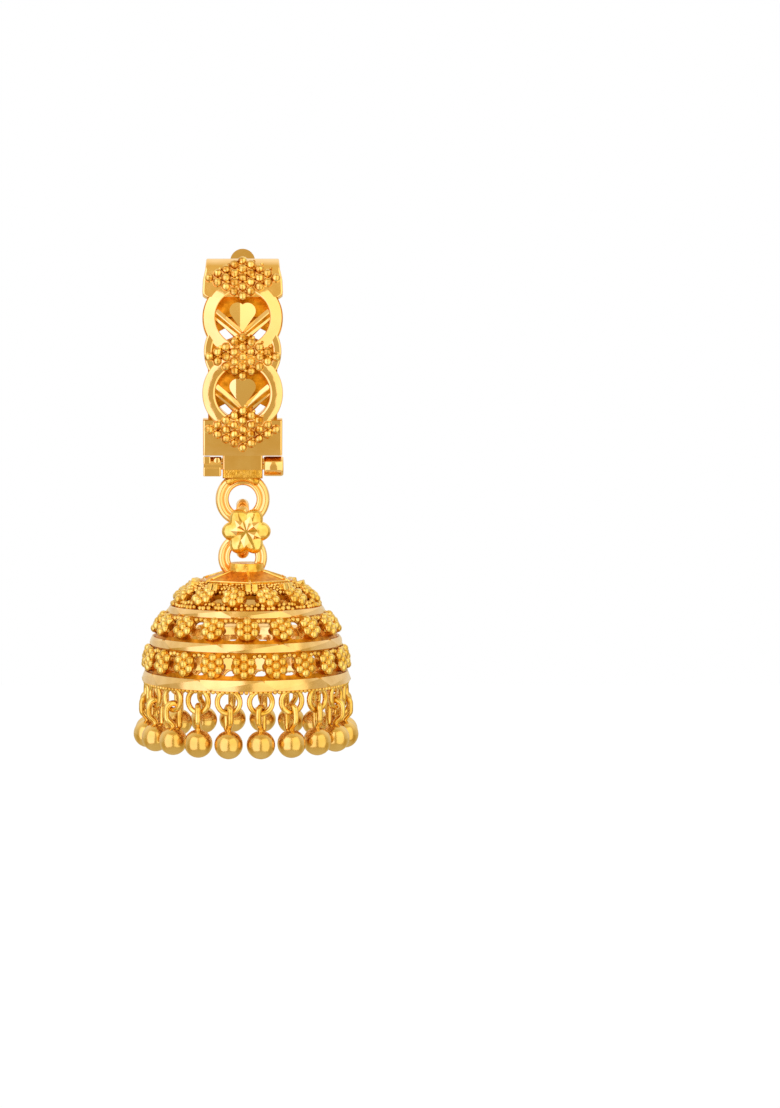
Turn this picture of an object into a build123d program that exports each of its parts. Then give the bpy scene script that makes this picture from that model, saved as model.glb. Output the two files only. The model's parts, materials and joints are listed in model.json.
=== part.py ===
from build123d import *

import os
from math import asin, atan2, cos, radians, sin, sqrt

# A jhumka earring: a hinged half-hoop, a flower link and a pierced bell with ball drops.
# Millimetres. The origin is on the ear post's axis, in the hoop's middle plane.
# -Y is the earring's front, +X its right side seen from the front, +Z is up.

os.makedirs("parts", exist_ok=True)

# --- Driving dimensions: hoop --------------------------------------------------------------

hoop_height = 17.5  # outer size of the hoop, seen from the side
hoop_depth = 13.0
hoop_shoulder = 4.6  # half depth at the ends of the front and back arcs
corner_radius = 1.4
band_thickness = 0.9
recess_depth = 0.45  # from the band's face down to the floor of the open links
band_half_width = 3.28
post_radius = 0.45
post_start, post_end = -3.4, 4.95  # along Y
band_end = -3.0  # where the band's top return ends

hoop_z = -(hoop_height - band_thickness) / 2  # middle of the hoop, below the post

# Heights below are counted from the middle of the hoop.
# Right edge of the front, from the top down: half width and height of each corner.
front_edge = (
    (2.65, 8.75), (3.0, 8.4), (3.02, 7.0), (3.26, 6.8), (3.26, 5.75), (2.85, 5.45),
    (2.85, -4.55), (3.26, -4.55), (3.26, -7.55),
)
link_heights = (3.85, -2.37)
link_radius = 3.3
link_hole_radius = 2.28
middle_plate_height, middle_plate_radius = 1.05, 3.17
field_heights = (7.1, 0.62, -5.35)  # middles of the three granule fields

granule_radius = 0.36
granule_root = 0.25  # how deep a granule's foot is set into the band
granule_rise = 0.06  # centre of a granule above the band's face
granule_column_pitch = 0.69
granule_row_pitch = 0.79
granule_columns = 4  # to each side of the middle column
field_half_width, field_half_height = 3.25, 1.98

heart_width, heart_height = 1.95, 2.3
bar_length, bar_width, bar_lean = 2.9, 0.36, 38.0
bar_side, bar_drop = 1.12, 0.62  # middle of each bar, from the middle of its link
# Small holes right through the band, below the bars.
eyelet_side, eyelet_drop = 1.36, 1.36
eyelet_corners = ((0.62, 0.2), (0.1, 0.47), (-0.6, -0.22), (0.06, -0.5))

# --- Driving dimensions: hinge and back half -----------------------------------------------

hinge_y, hinge_height = -4.2, -8.46
knuckle_radius = 0.8
pin_radius, pin_hole_radius = 0.3, 0.345
pin_length = 6.3
centre_knuckle_half = 1.66
outer_knuckle_inner, outer_knuckle_outer = 1.78, 3.25
lip_depth, lip_height = 1.04, 1.0  # solder under the centre knuckle, which holds the upper ring
lip_middle_y, lip_middle_height = -4.32, -8.96
strap_shoulder, strap_neck = 1.6, 4.6  # behind the hinge, where the strap starts and ends narrowing
knuckle_gap_depth = 2.4  # room in the strap for the centre knuckle
front_gap_depth = 2.8  # room above the strap for the front half's foot
strip_half_width = 0.85
strip_top = 7.3
catch_width, catch_top, catch_foot = 2.15, 9.95, 6.2
catch_front, catch_back = 4.5, 5.35
catch_slot_half_width, catch_slot_below, catch_slot_above = 0.65, 0.65, 0.95

# --- Driving dimensions: rings and flower link ---------------------------------------------

drop_y = hinge_y  # the jump rings, the link and the bell hang in this plane
upper_ring_height = -11.2
upper_ring_wires = ((1.905, 0.345), (1.40, 0.23))  # each wire's ring radius and wire radius
lower_ring_height = -16.06
lower_ring_wires = ((1.77, 0.27), (1.29, 0.23))
link_wire = 0.55
link_bend = 1.2  # centre-line radius of the link's two round ends
link_top_bend_height, link_foot_bend_height = -12.92, -14.43
flower_height = -13.8
flower_back, flower_thickness = 1.15, 0.95  # in front of the link's middle plane
flower_lobe_ring, flower_lobe_radius, flower_core_radius = 1.40, 0.64, 1.5
star_length, star_width, star_rise, star_taper = 1.4, 0.4, 0.35, 42.0

# --- Driving dimensions: bell --------------------------------------------------------------

bell_x = 0.3  # the jump ring is soldered a little off the middle of the bell's collar
bell_height = -17.2  # foot of the collar, from the middle of the hoop
collar_radius, collar_rise = 1.46, 0.66
cap_top_radius, cap_radius, cap_drop, cap_lip = 1.75, 3.95, 0.72, 0.36
cap_turn = 4.0
stud_size, stud_circle, stud_depth, stud_rise = 0.5, 3.53, 0.82, 40.0
wall_thickness = 0.45
crown_step = 0.3  # the crown's underside is this much narrower than the wall's first corner
# Depths below are counted down from the foot of the collar.
wall = ((3.9, 1.0), (6.2, 2.9), (7.8, 5.7), (8.4, 9.15))  # radius and depth of its corners
# Each band: outer radius and depth at its top, then at its foot.
bands = (
    ((6.30, 2.87), (6.52, 3.42)),
    ((7.79, 5.41), (8.0, 6.08)),
    ((8.46, 8.3), (8.66, 9.15)),
)
band_wall = 0.6
# Each row of flowers: how many, turn of the first, radius and depth of their middles,
# the rise of their faces' normals, then the holes between them: width and height.
flower_rows = (
    (12, -11.0, 5.3, 1.93, 51.0, 1.2, 1.1),
    (16, 0.6, 7.15, 4.33, 33.0, 1.45, 1.7),
    (20, -1.4, 8.16, 7.18, 11.0, 1.2, 1.5),
)
petal_ring, petal_radius, flower_button = 0.66, 0.38, 0.42
flower_rise, button_rise = 0.2, 0.32  # of a flower's face and of its button above the wall
hole_roundness = 0.3  # corner radius of a hole, as a share of its width
hole_cut_depth = 2.0

rim_ring_count = 20
rim_turn = -9.9  # the first ring, turned from the bell's front
rim_ring_circle = 8.33
rim_ring_depth = 10.05
rim_ring_radius, rim_ring_wire = 0.93, 0.225

# --- Driving dimensions: ball drops --------------------------------------------------------

ball_radius = 1.16
ball_depth = 13.52
hook_wire = 0.21
hook_bend = 0.56
hook_tail = 12.3  # depth of the free end of the hook
hook_shoulder = 11.7
hook_neck = 0.16  # straight stretch above the ball
hook_corner = 0.4
# How far each hook has turned about its ring, in degrees, going round from the front.
hook_turns = (26, -30, 12, -24, 18, -28, 30, -10, 22, -16, 28, -22, 14, -26, 20, -12, 30, -20, -32, 24)

# --- Planes --------------------------------------------------------------------------------

side_view = Plane(origin=(0, 0, hoop_z), x_dir=(0, 1, 0), z_dir=(1, 0, 0))
front_view = Plane(origin=(0, 0, hoop_z), x_dir=(1, 0, 0), z_dir=(0, -1, 0))
bell_axis = Plane(origin=(bell_x, drop_y, hoop_z + bell_height))

# The front face is an arc seen from the side, closed by a corner arc at the top.
half_height, half_depth = hoop_height / 2, hoop_depth / 2
face_sag = half_depth - hoop_shoulder
face_radius = (half_height**2 + face_sag**2) / (2 * face_sag)
corner_z = half_height - corner_radius
corner_y = face_radius - half_depth - sqrt((face_radius - corner_radius) ** 2 - corner_z**2)
corner_start = asin(corner_z / (face_radius - corner_radius))


def face_plane(side, run):
    """Plane on the hoop's front face that faces out, `run` along it from the hoop's mid height."""
    angle = run / face_radius
    if angle <= corner_start:
        y, z = face_radius - half_depth - face_radius * cos(angle), face_radius * sin(angle)
    else:
        angle = corner_start + (angle - corner_start) * face_radius / corner_radius
        y, z = corner_y - corner_radius * cos(angle), corner_z + corner_radius * sin(angle)
    return Plane(origin=(side, y, hoop_z + z), x_dir=(1, 0, 0), z_dir=(0, -cos(angle), sin(angle)))


def side_outline(inset):
    """Side view of the hoop's outer surface, drawn in by `inset`."""
    with BuildSketch(side_view) as outline:
        with BuildLine():
            ThreePointArc((-hoop_shoulder, half_height), (-half_depth, 0), (-hoop_shoulder, -half_height))
            Line((-hoop_shoulder, -half_height), (hoop_shoulder, -half_height))
            ThreePointArc((hoop_shoulder, -half_height), (half_depth, 0), (hoop_shoulder, half_height))
            Line((hoop_shoulder, half_height), (-hoop_shoulder, half_height))
        make_face()
        fillet(outline.vertices(), corner_radius)
        if inset:
            offset(amount=-inset, mode=Mode.REPLACE)
    return outline.sketch


def heart(width, height):
    """A heart with its tip down: two round lobes and straight flanks that touch them."""
    lobe = width * 0.27
    side, top = width / 2 - lobe, height / 2 - lobe
    reach = sqrt(side**2 + (top + height / 2) ** 2)
    lean = atan2(side, top + height / 2) + asin(lobe / reach)
    flank = sqrt(reach**2 - lobe**2)
    touch_x, touch_y = flank * sin(lean), flank * cos(lean) - height / 2
    with BuildSketch(Plane.XY) as shape:
        Polygon(
            (0, -height / 2), (touch_x, touch_y), (side, top), (0, top), (-side, top), (-touch_x, touch_y),
            align=None,
        )
        with Locations((side, top), (-side, top)):
            Circle(lobe)
    return shape.sketch


def lobed_disc(lobes, lobe_ring, lobe_radius, core_radius):
    """A round disc with small round lobes on its edge."""
    with BuildSketch(Plane.XY) as shape:
        Circle(core_radius)
        with PolarLocations(lobe_ring, lobes):
            Circle(lobe_radius)
    return shape.sketch


def rounded_cutter(width, height):
    """A block with rounded corners that cuts a hole through a wall, centred on it."""
    with BuildPart() as cutter:
        with BuildSketch(Plane.XY.offset(-hole_cut_depth / 2)):
            RectangleRounded(width, height, width * hole_roundness)
        extrude(amount=hole_cut_depth)
    return cutter.part


def bell_plane(turn, radius, depth, rise):
    """Plane that faces out of the bell wall; `turn` runs from the bell's front towards +X."""
    angle = radians(turn - 90)
    tilt = radians(rise)
    origin = bell_axis.origin + Vector(radius * cos(angle), radius * sin(angle), -depth)
    normal = Vector(cos(tilt) * cos(angle), cos(tilt) * sin(angle), sin(tilt))
    return Plane(origin=origin, x_dir=(-sin(angle), cos(angle), 0), z_dir=normal)


# --- Hoop, front half ----------------------------------------------------------------------

# Pockets: inside each open link the face is lowered, round a heart and two slanting bars.
with BuildPart() as pockets:
    for height in link_heights:
        with BuildSketch(front_view):
            with Locations((0, height)):
                Circle(link_hole_radius)
                add(heart(heart_width, heart_height), mode=Mode.SUBTRACT)
            for side in (-1, 1):
                with Locations((side * bar_side, height - bar_drop)):
                    Rectangle(bar_length, bar_width, rotation=side * bar_lean, mode=Mode.SUBTRACT)
            for field in field_heights:
                with Locations((0, field)):
                    Polygon(
                        (field_half_width, 0), (0, field_half_height),
                        (-field_half_width, 0), (0, -field_half_height),
                        align=None, mode=Mode.SUBTRACT,
                    )
        extrude(amount=half_depth + 1)
    extrude(side_outline(recess_depth), amount=band_half_width + 1, both=True, mode=Mode.SUBTRACT)

# A granule: a short root with a round head.
with BuildPart() as granule:
    with BuildSketch(Plane.XZ):
        with BuildLine():
            Polyline(
                (0, granule_rise + granule_radius), (0, -granule_root),
                (granule_radius, -granule_root), (granule_radius, granule_rise),
            )
            RadiusArc(
                (granule_radius, granule_rise), (0, granule_rise + granule_radius), -granule_radius
            )
        make_face()
    revolve(axis=Axis.Z)

with BuildPart() as hoop_front:
    extrude(side_outline(0), amount=band_half_width, both=True)
    extrude(side_outline(band_thickness), amount=band_half_width + 1, both=True, mode=Mode.SUBTRACT)

    # Front outline: top plate, two round links, round middle plate, lower plate and tongue.
    band_foot = front_edge[-1][1]
    tongue = ((centre_knuckle_half, band_foot), (centre_knuckle_half, hinge_height))
    right_edge = front_edge + tongue
    left_edge = [(-side, height) for side, height in reversed(right_edge)]
    with BuildSketch(front_view.offset(-band_end)):
        with BuildLine():
            Polyline(*right_edge, *left_edge, close=True)
        make_face()
        with Locations(*[(0, height) for height in link_heights]):
            Circle(link_radius)
        with Locations((0, middle_plate_height)):
            Circle(middle_plate_radius)
    extrude(amount=half_depth, mode=Mode.INTERSECT)

    add(pockets.part, mode=Mode.SUBTRACT)

    # Two holes cut right through below the bars of each link.
    with BuildSketch(front_view.offset(-band_end)):
        for height in link_heights:
            for side in (-1, 1):
                with Locations((side * eyelet_side, height - eyelet_drop)):
                    Polygon(*[(side * x, y) for x, y in eyelet_corners], align=None)
    extrude(amount=half_depth, mode=Mode.SUBTRACT)

    # Centre knuckle of the hinge, with the solder lip that carries the upper ring.
    with BuildSketch(side_view):
        with Locations((hinge_y, hinge_height)):
            Circle(knuckle_radius)
        with Locations((lip_middle_y, lip_middle_height)):
            Rectangle(lip_depth, lip_height)
    extrude(amount=centre_knuckle_half, both=True)
    with BuildSketch(side_view):
        with Locations((hinge_y, hinge_height)):
            Circle(pin_hole_radius)
    extrude(amount=band_half_width + 1, both=True, mode=Mode.SUBTRACT)

    with Locations((0, drop_y, hoop_z + upper_ring_height)):
        for ring_radius, wire_radius in upper_ring_wires:
            Torus(ring_radius, wire_radius, rotation=(90, 0, 0))

    # Ear post.
    with BuildSketch(Plane.XZ.offset(-post_end)):
        Circle(post_radius)
    extrude(amount=post_end - post_start)

    # Granule fields: columns that lose a granule at each step from the middle.
    granules = []
    for field in field_heights:
        field_run = face_radius * asin(field / face_radius)
        for column in range(-granule_columns, granule_columns + 1):
            count = granule_columns + 1 - abs(column)
            for row in range(count):
                run = field_run + (row - (count - 1) / 2) * granule_row_pitch
                granules.append(Location(face_plane(column * granule_column_pitch, run)))
    with Locations(*granules):
        add(granule.part)

hoop_front.part.label = "hoop_front"
export_step(hoop_front.part, "parts/hoop_front.step")

# --- Hoop, back half -----------------------------------------------------------------------

with BuildPart() as hoop_back:
    extrude(side_outline(0), amount=band_half_width, both=True)
    extrude(side_outline(band_thickness), amount=band_half_width + 1, both=True, mode=Mode.SUBTRACT)

    # Top outline: full width at the hinge, drawn in to the plain strip behind it.
    with BuildSketch(Plane.XY.offset(hoop_z - half_height)):
        with BuildLine():
            Polyline(
                (-outer_knuckle_outer, hinge_y), (outer_knuckle_outer, hinge_y),
                (outer_knuckle_outer, hinge_y + strap_shoulder), (strip_half_width, hinge_y + strap_neck),
                (strip_half_width, half_depth + 1), (-strip_half_width, half_depth + 1),
                (-strip_half_width, hinge_y + strap_neck), (-outer_knuckle_outer, hinge_y + strap_shoulder),
                close=True,
            )
        make_face()
        with Locations((0, hinge_y)):
            Rectangle(2 * outer_knuckle_inner, knuckle_gap_depth, mode=Mode.SUBTRACT)
    extrude(amount=half_height + strip_top, mode=Mode.INTERSECT)
    with BuildSketch(side_view):
        with Locations((hinge_y, band_thickness - half_height)):
            Rectangle(front_gap_depth, hoop_height, align=(Align.CENTER, Align.MIN))
    extrude(amount=band_half_width + 1, both=True, mode=Mode.SUBTRACT)

    # Outer knuckles.
    for side in (-1, 1):
        start = outer_knuckle_inner if side > 0 else -outer_knuckle_outer
        with BuildSketch(side_view.offset(start)):
            with Locations((hinge_y, hinge_height)):
                Circle(knuckle_radius)
        extrude(amount=outer_knuckle_outer - outer_knuckle_inner)
    with BuildSketch(side_view):
        with Locations((hinge_y, hinge_height)):
            Circle(pin_hole_radius)
    extrude(amount=band_half_width + 1, both=True, mode=Mode.SUBTRACT)

    # Catch tab: a round-headed tongue with a slot for the post's tip.
    with BuildSketch(front_view.offset(-catch_back)):
        with Locations((0, (catch_foot + catch_top) / 2)):
            SlotOverall(catch_top - catch_foot, catch_width, rotation=90)
    extrude(amount=catch_back - catch_front)
    slot_height = catch_slot_below + catch_slot_above
    with BuildSketch(Plane.XZ.offset(-catch_back - 1)):
        with Locations((0, (catch_slot_above - catch_slot_below) / 2)):
            SlotOverall(slot_height, 2 * catch_slot_half_width, rotation=90)
    extrude(amount=3, mode=Mode.SUBTRACT)

hoop_back.part.label = "hoop_back"
export_step(hoop_back.part, "parts/hoop_back.step")

with BuildPart() as hinge_pin:
    with Locations((0, hinge_y, hoop_z + hinge_height)):
        Cylinder(pin_radius, pin_length, rotation=(0, 90, 0))

hinge_pin.part.label = "hinge_pin"
export_step(hinge_pin.part, "parts/hinge_pin.step")

# --- Flower link ---------------------------------------------------------------------------

with BuildPart() as flower_link:
    with BuildLine(side_view):
        Polyline((drop_y + link_bend, link_foot_bend_height), (drop_y + link_bend, link_top_bend_height))
        ThreePointArc(
            (drop_y + link_bend, link_top_bend_height),
            (drop_y, link_top_bend_height + link_bend),
            (drop_y - link_bend, link_top_bend_height),
        )
        Line((drop_y - link_bend, link_top_bend_height), (drop_y - link_bend, link_foot_bend_height))
        ThreePointArc(
            (drop_y - link_bend, link_foot_bend_height),
            (drop_y, link_foot_bend_height - link_bend),
            (drop_y + link_bend, link_foot_bend_height),
        )
    with BuildSketch(Plane.XY.offset(hoop_z + link_foot_bend_height)):
        with Locations((0, drop_y + link_bend)):
            Circle(link_wire)
    sweep()

    flower_plane = Plane(
        origin=(0, drop_y - flower_back, hoop_z + flower_height), x_dir=(1, 0, 0), z_dir=(0, -1, 0)
    )
    with BuildSketch(flower_plane):
        add(lobed_disc(6, flower_lobe_ring, flower_lobe_radius, flower_core_radius))
    extrude(amount=flower_thickness)

    # Star: three pointed ridges crossed over each other.
    for ridge in range(3):
        with BuildSketch(flower_plane.offset(flower_thickness)):
            with Locations(Location((0, 0, 0), (0, 0, 30 + 60 * ridge))):
                Polygon(
                    (star_length, 0), (0, star_width), (-star_length, 0), (0, -star_width), align=None
                )
        extrude(amount=star_rise, taper=star_taper)

flower_link.part.label = "flower_link"
export_step(flower_link.part, "parts/flower_link.step")

# --- Bell ----------------------------------------------------------------------------------

with BuildPart() as bell_flower:
    with BuildSketch(Plane.XY.offset(-wall_thickness / 2)):
        add(lobed_disc(6, petal_ring, petal_radius, petal_ring))
    extrude(amount=wall_thickness / 2 + flower_rise)
    with BuildSketch(Plane.XY):
        Circle(flower_button)
    extrude(amount=button_rise)

hole_cutters = [rounded_cutter(width, height) for *_, width, height in flower_rows]
bell_section = Plane(origin=bell_axis.origin, x_dir=(1, 0, 0), z_dir=(0, -1, 0))

with BuildPart() as bell:
    # The wall below the cap is three cones, one for each row of flowers, each ending in a band.
    with BuildSketch(bell_section):
        wall_top_radius, wall_top_depth = wall[0]
        crown_foot = -wall_top_depth - wall_thickness
        with BuildLine():
            Polyline(
                *[(radius, -depth) for radius, depth in wall],
                *[(radius - wall_thickness, -depth) for radius, depth in reversed(wall[1:])],
                (wall_top_radius - crown_step, crown_foot), (0, crown_foot),
                (0, -cap_drop), (wall_top_radius, -cap_drop),
                close=True,
            )
        make_face()
        for (top_radius, top_depth), (foot_radius, foot_depth) in bands:
            Polygon(
                (top_radius, -top_depth), (foot_radius, -foot_depth),
                (foot_radius - band_wall, -foot_depth), (top_radius - band_wall, -top_depth),
                align=None,
            )
    revolve(axis=Axis(bell_axis.origin, (0, 0, 1)))

    # Holes cut through between the flowers, then the flowers raised on the wall.
    for (count, first, radius, depth, rise, *_), cutter in zip(flower_rows, hole_cutters):
        turns = [first + (step + 0.5) * 360 / count for step in range(count)]
        with Locations(*[Location(bell_plane(turn, radius, depth, rise)) for turn in turns]):
            add(cutter, mode=Mode.SUBTRACT)
    for count, first, radius, depth, rise, *_ in flower_rows:
        turns = [first + step * 360 / count for step in range(count)]
        with Locations(*[Location(bell_plane(turn, radius, depth, rise)) for turn in turns]):
            add(bell_flower.part)

    # Six-sided stepped cap with its lip and studs, and the collar on top.
    with BuildSketch(bell_axis):
        RegularPolygon(cap_top_radius, 6, rotation=cap_turn - 90)
    with BuildSketch(bell_axis.offset(-cap_drop)):
        RegularPolygon(cap_radius, 6, rotation=cap_turn - 90)
    loft()
    with BuildSketch(bell_axis.offset(-cap_drop - cap_lip)):
        RegularPolygon(cap_radius, 6, rotation=cap_turn - 90)
    extrude(amount=cap_lip)
    studs = [bell_plane(cap_turn + 60 * step, stud_circle, stud_depth, stud_rise) for step in range(6)]
    with Locations(*[Location(plane) for plane in studs]):
        Box(stud_size, stud_size, stud_size)
    with BuildSketch(bell_axis):
        Circle(collar_radius)
    extrude(amount=collar_rise)

    # Small rings soldered under the rim, and the lower jump ring on the collar.
    turns = [rim_turn + step * 360 / rim_ring_count for step in range(rim_ring_count)]
    with Locations(
        *[Location(bell_plane(turn, rim_ring_circle, rim_ring_depth, 0)) for turn in turns]
    ):
        Torus(rim_ring_radius, rim_ring_wire)
    with Locations((0, drop_y, hoop_z + lower_ring_height)):
        for ring_radius, wire_radius in lower_ring_wires:
            Torus(ring_radius, wire_radius, rotation=(90, 0, 0))

bell.part.label = "bell"
export_step(bell.part, "parts/bell.step")

# --- Ball drops ----------------------------------------------------------------------------


eye_depth = rim_ring_depth + rim_ring_radius  # of the lowest point of the rim rings' wire
ball_middle = eye_depth - ball_depth


def drop_plane(turn, hook_turn):
    """Upright plane through a drop's hook: X outwards, Y up, at the rim ring's lowest wire."""
    angle = radians(turn - 90)
    outward = Vector(cos(angle), sin(angle))
    origin = bell_axis.origin + outward * rim_ring_circle - Vector(0, 0, eye_depth)
    lean = angle + radians(hook_turn)
    return Plane(origin=origin, x_dir=(cos(lean), sin(lean), 0), z_dir=(sin(lean), -cos(lean), 0))


for index, hook_turn in enumerate(hook_turns):
    turn = rim_turn + index * 360 / rim_ring_count
    plane = drop_plane(turn, hook_turn)
    name = f"drop_{index + 1:02d}"
    with BuildPart() as drop:
        with BuildLine(plane):
            FilletPolyline(
                (0, ball_middle + ball_radius / 2),
                (0, ball_middle + ball_radius + hook_neck),
                (hook_bend, eye_depth - hook_shoulder),
                (hook_bend, 0),
                radius=hook_corner,
            )
            ThreePointArc((hook_bend, 0), (0, hook_bend), (-hook_bend, 0))
            Line((-hook_bend, 0), (-hook_bend, eye_depth - hook_tail))
        foot = plane.from_local_coords((0, ball_middle + ball_radius / 2))
        with BuildSketch(Plane(origin=foot, z_dir=(0, 0, 1))):
            Circle(hook_wire)
        sweep(transition=Transition.RIGHT)
        with Locations(plane.from_local_coords((0, ball_middle))):
            Sphere(ball_radius)
    drop.part.label = name
    export_step(drop.part, f"parts/{name}.step")
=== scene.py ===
"""The looks of a jhumka earring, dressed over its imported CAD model.

Lengths are millimetres until a piece is made, which turns them to metres. Angles that a class
holds are degrees. The frame is the CAD model's: the ear post lies along Y at the origin, -Y is
the decorated front, +X the right side seen from the front, and +Z is up.
"""

import json
import logging
from collections.abc import Callable, Iterable
from dataclasses import dataclass
from enum import Enum
from functools import cache

import bpy
import numpy as np
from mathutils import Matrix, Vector


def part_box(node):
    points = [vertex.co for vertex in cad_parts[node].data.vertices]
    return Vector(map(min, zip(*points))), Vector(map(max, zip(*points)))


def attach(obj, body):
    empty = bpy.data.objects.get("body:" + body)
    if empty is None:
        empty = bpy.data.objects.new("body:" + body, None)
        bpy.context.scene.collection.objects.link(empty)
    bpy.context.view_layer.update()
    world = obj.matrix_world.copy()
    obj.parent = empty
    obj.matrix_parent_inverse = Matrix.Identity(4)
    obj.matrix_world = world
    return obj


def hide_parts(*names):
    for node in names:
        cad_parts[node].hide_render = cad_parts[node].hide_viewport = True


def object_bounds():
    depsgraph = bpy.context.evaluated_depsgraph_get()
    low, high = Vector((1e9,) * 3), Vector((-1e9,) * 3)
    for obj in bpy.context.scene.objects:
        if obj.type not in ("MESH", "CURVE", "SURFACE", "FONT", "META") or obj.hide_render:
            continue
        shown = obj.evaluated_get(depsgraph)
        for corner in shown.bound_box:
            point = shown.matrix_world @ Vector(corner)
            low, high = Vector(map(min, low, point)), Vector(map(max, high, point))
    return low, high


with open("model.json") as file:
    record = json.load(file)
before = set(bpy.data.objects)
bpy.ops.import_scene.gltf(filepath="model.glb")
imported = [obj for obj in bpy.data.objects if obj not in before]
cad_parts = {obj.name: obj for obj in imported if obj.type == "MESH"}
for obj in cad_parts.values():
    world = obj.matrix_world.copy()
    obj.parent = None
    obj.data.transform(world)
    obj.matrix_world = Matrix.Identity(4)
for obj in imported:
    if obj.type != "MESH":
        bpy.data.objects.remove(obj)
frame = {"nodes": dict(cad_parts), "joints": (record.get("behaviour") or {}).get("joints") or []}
cad_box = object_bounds()

MM = 0.001
Array = np.ndarray
Pair = tuple[float, float]
Triple = tuple[float, float, float]
Socket = bpy.types.NodeSocket
Tree = bpy.types.NodeTree
log = logging.getLogger("jhumka")

# Places that the joints' axes don't give.
HINGE_DROP = 8.46  # from the hoop's mid height down to its hinge
BELL_RING_DROP = 16.06  # from the hoop's mid height down to the middle of the bell's jump ring
BELL_SHIFT = 0.3  # the bell hangs this far to the right of the link
BELL_DEPTH = 11.204  # from the collar's foot down to the lowest wire under the rim


class Body(Enum):
    """The CAD bodies that pieces ride on."""

    HOOP = "hoop"
    LINK = "link"
    BELL = "bell"


def joint_point(name: str) -> Array:
    """Point on a joint's axis, in millimetres."""
    joint = next(joint for joint in frame["joints"] if joint["name"] == name)
    return np.array(joint["pos_m"]) / MM


# --- Shells: closed surfaces as arrays ------------------------------------------------------


@dataclass(frozen=True)
class Shell:
    """One or more closed surfaces, as points with four-sided and three-sided faces.

    Attributes:
        points: One row of x, y, z for each point.
        quads: Point numbers of the four-sided faces.
        fans: Point numbers of the three-sided faces, which close the ends.
    """

    points: Array
    quads: Array
    fans: Array

    def facing_out(self) -> "Shell":
        """The same shell with its faces turned outwards.

        Six times the volume is the sum, over all triangles, of the triple product of their
        corners. Where it is negative, every face's order is turned round.

        Returns:
            The shell itself, or one with the same points and its faces turned round.
        """
        triangles = np.concatenate([self.quads[:, :3], self.quads[:, [0, 2, 3]], self.fans])
        first, second, third = (self.points[triangles[:, corner]] for corner in range(3))
        if np.einsum("ij,ij->", first, np.cross(second, third)) >= 0:
            return self
        return Shell(self.points, self.quads[:, ::-1], self.fans[:, ::-1])

    def bent(self, onto: Callable[[Array], Array]) -> "Shell":
        """The shell with all its points sent through a map of space."""
        return Shell(onto(self.points), self.quads, self.fans).facing_out()

    def moved(self, x: float = 0.0, y: float = 0.0, z: float = 0.0) -> "Shell":
        """The shell shifted by x, y, z."""
        return Shell(self.points + np.array([x, y, z]), self.quads, self.fans)

    def scaled(self, x: float, y: float, z: float) -> "Shell":
        """The shell stretched along each axis."""
        return self.bent(lambda points: points * np.array([x, y, z]))

    def copies(self, origins: Array, axes: Array) -> "Shell":
        """Many copies of the shell in one.

        Every point p of copy k comes to origins[k] + p @ axes[k].

        Args:
            origins: Where each copy's own origin goes, one row a copy.
            axes: For each copy, a 3 by 3 array whose rows are its own x, y and z directions.

        Returns:
            The copies as one shell.
        """
        points = origins[:, None] + np.einsum("pi,kij->kpj", self.points, axes)
        steps = np.arange(len(origins))[:, None, None] * len(self.points)
        quads = (self.quads[None] + steps).reshape(-1, 4)
        fans = (self.fans[None] + steps).reshape(-1, 3)
        return Shell(points.reshape(-1, 3), quads, fans)

    def spread(self, spots: Array, sizes: Array | float = 1.0) -> "Shell":
        """A copy of the shell at each spot, each at its own size."""
        sizes = np.broadcast_to(sizes, len(spots))
        return self.copies(spots, sizes[:, None, None] * np.eye(3))


def joined(shells: Iterable[Shell]) -> Shell:
    """Several shells as one.

    Args:
        shells: The shells, in order.

    Returns:
        One shell with all their points and faces.
    """
    shells = list(shells)
    starts = np.cumsum([0] + [len(shell.points) for shell in shells[:-1]])
    return Shell(
        np.concatenate([shell.points for shell in shells]),
        np.concatenate([shell.quads + start for shell, start in zip(shells, starts)]),
        np.concatenate([shell.fans + start for shell, start in zip(shells, starts)]),
    )


def grid_shell(grid: Array, poles: tuple[Array, Array] | None = None) -> Shell:
    """A closed surface over a grid whose columns run round and meet themselves.

    Args:
        grid: Points in rows and columns, of shape (rows, columns, 3).
        poles: The point that closes the first row and the one that closes the last. Without
            them the last row meets the first, which makes a ring.

    Returns:
        The shell, facing outwards.
    """
    rows, columns, _ = grid.shape
    here = np.arange(rows * columns).reshape(rows, columns)
    beside = np.roll(here, -1, axis=1)
    quads = np.stack([here, beside, np.roll(beside, -1, axis=0), np.roll(here, -1, axis=0)], axis=-1)
    if poles is None:
        return Shell(grid.reshape(-1, 3), quads.reshape(-1, 4), np.empty((0, 3), int)).facing_out()
    first, last = (np.full(columns, rows * columns + number) for number in range(2))
    fans = np.concatenate([
        np.stack([first, beside[0], here[0]], axis=-1),
        np.stack([last, here[-1], beside[-1]], axis=-1),
    ])
    points = np.concatenate([grid.reshape(-1, 3), np.stack(poles)])
    return Shell(points, quads[:-1].reshape(-1, 4), fans).facing_out()


def capped(grid: Array) -> Shell:
    """A closed surface over a grid whose end rows are closed at their middles."""
    return grid_shell(grid, (grid[0].mean(axis=0), grid[-1].mean(axis=0)))


def arc(turn: Array, radius: float = 1.0) -> Array:
    """Points (x, y) at turns in radians: radius times their cosine and sine."""
    return radius * np.stack([np.cos(turn), np.sin(turn)], axis=-1)


def circle(count: int, radius: float = 1.0, start: float = 0.0) -> Array:
    """Points (x, y) of a circle at evenly spaced turns, from start in radians."""
    return arc(start + np.arange(count) * 2 * np.pi / count, radius)


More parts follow.
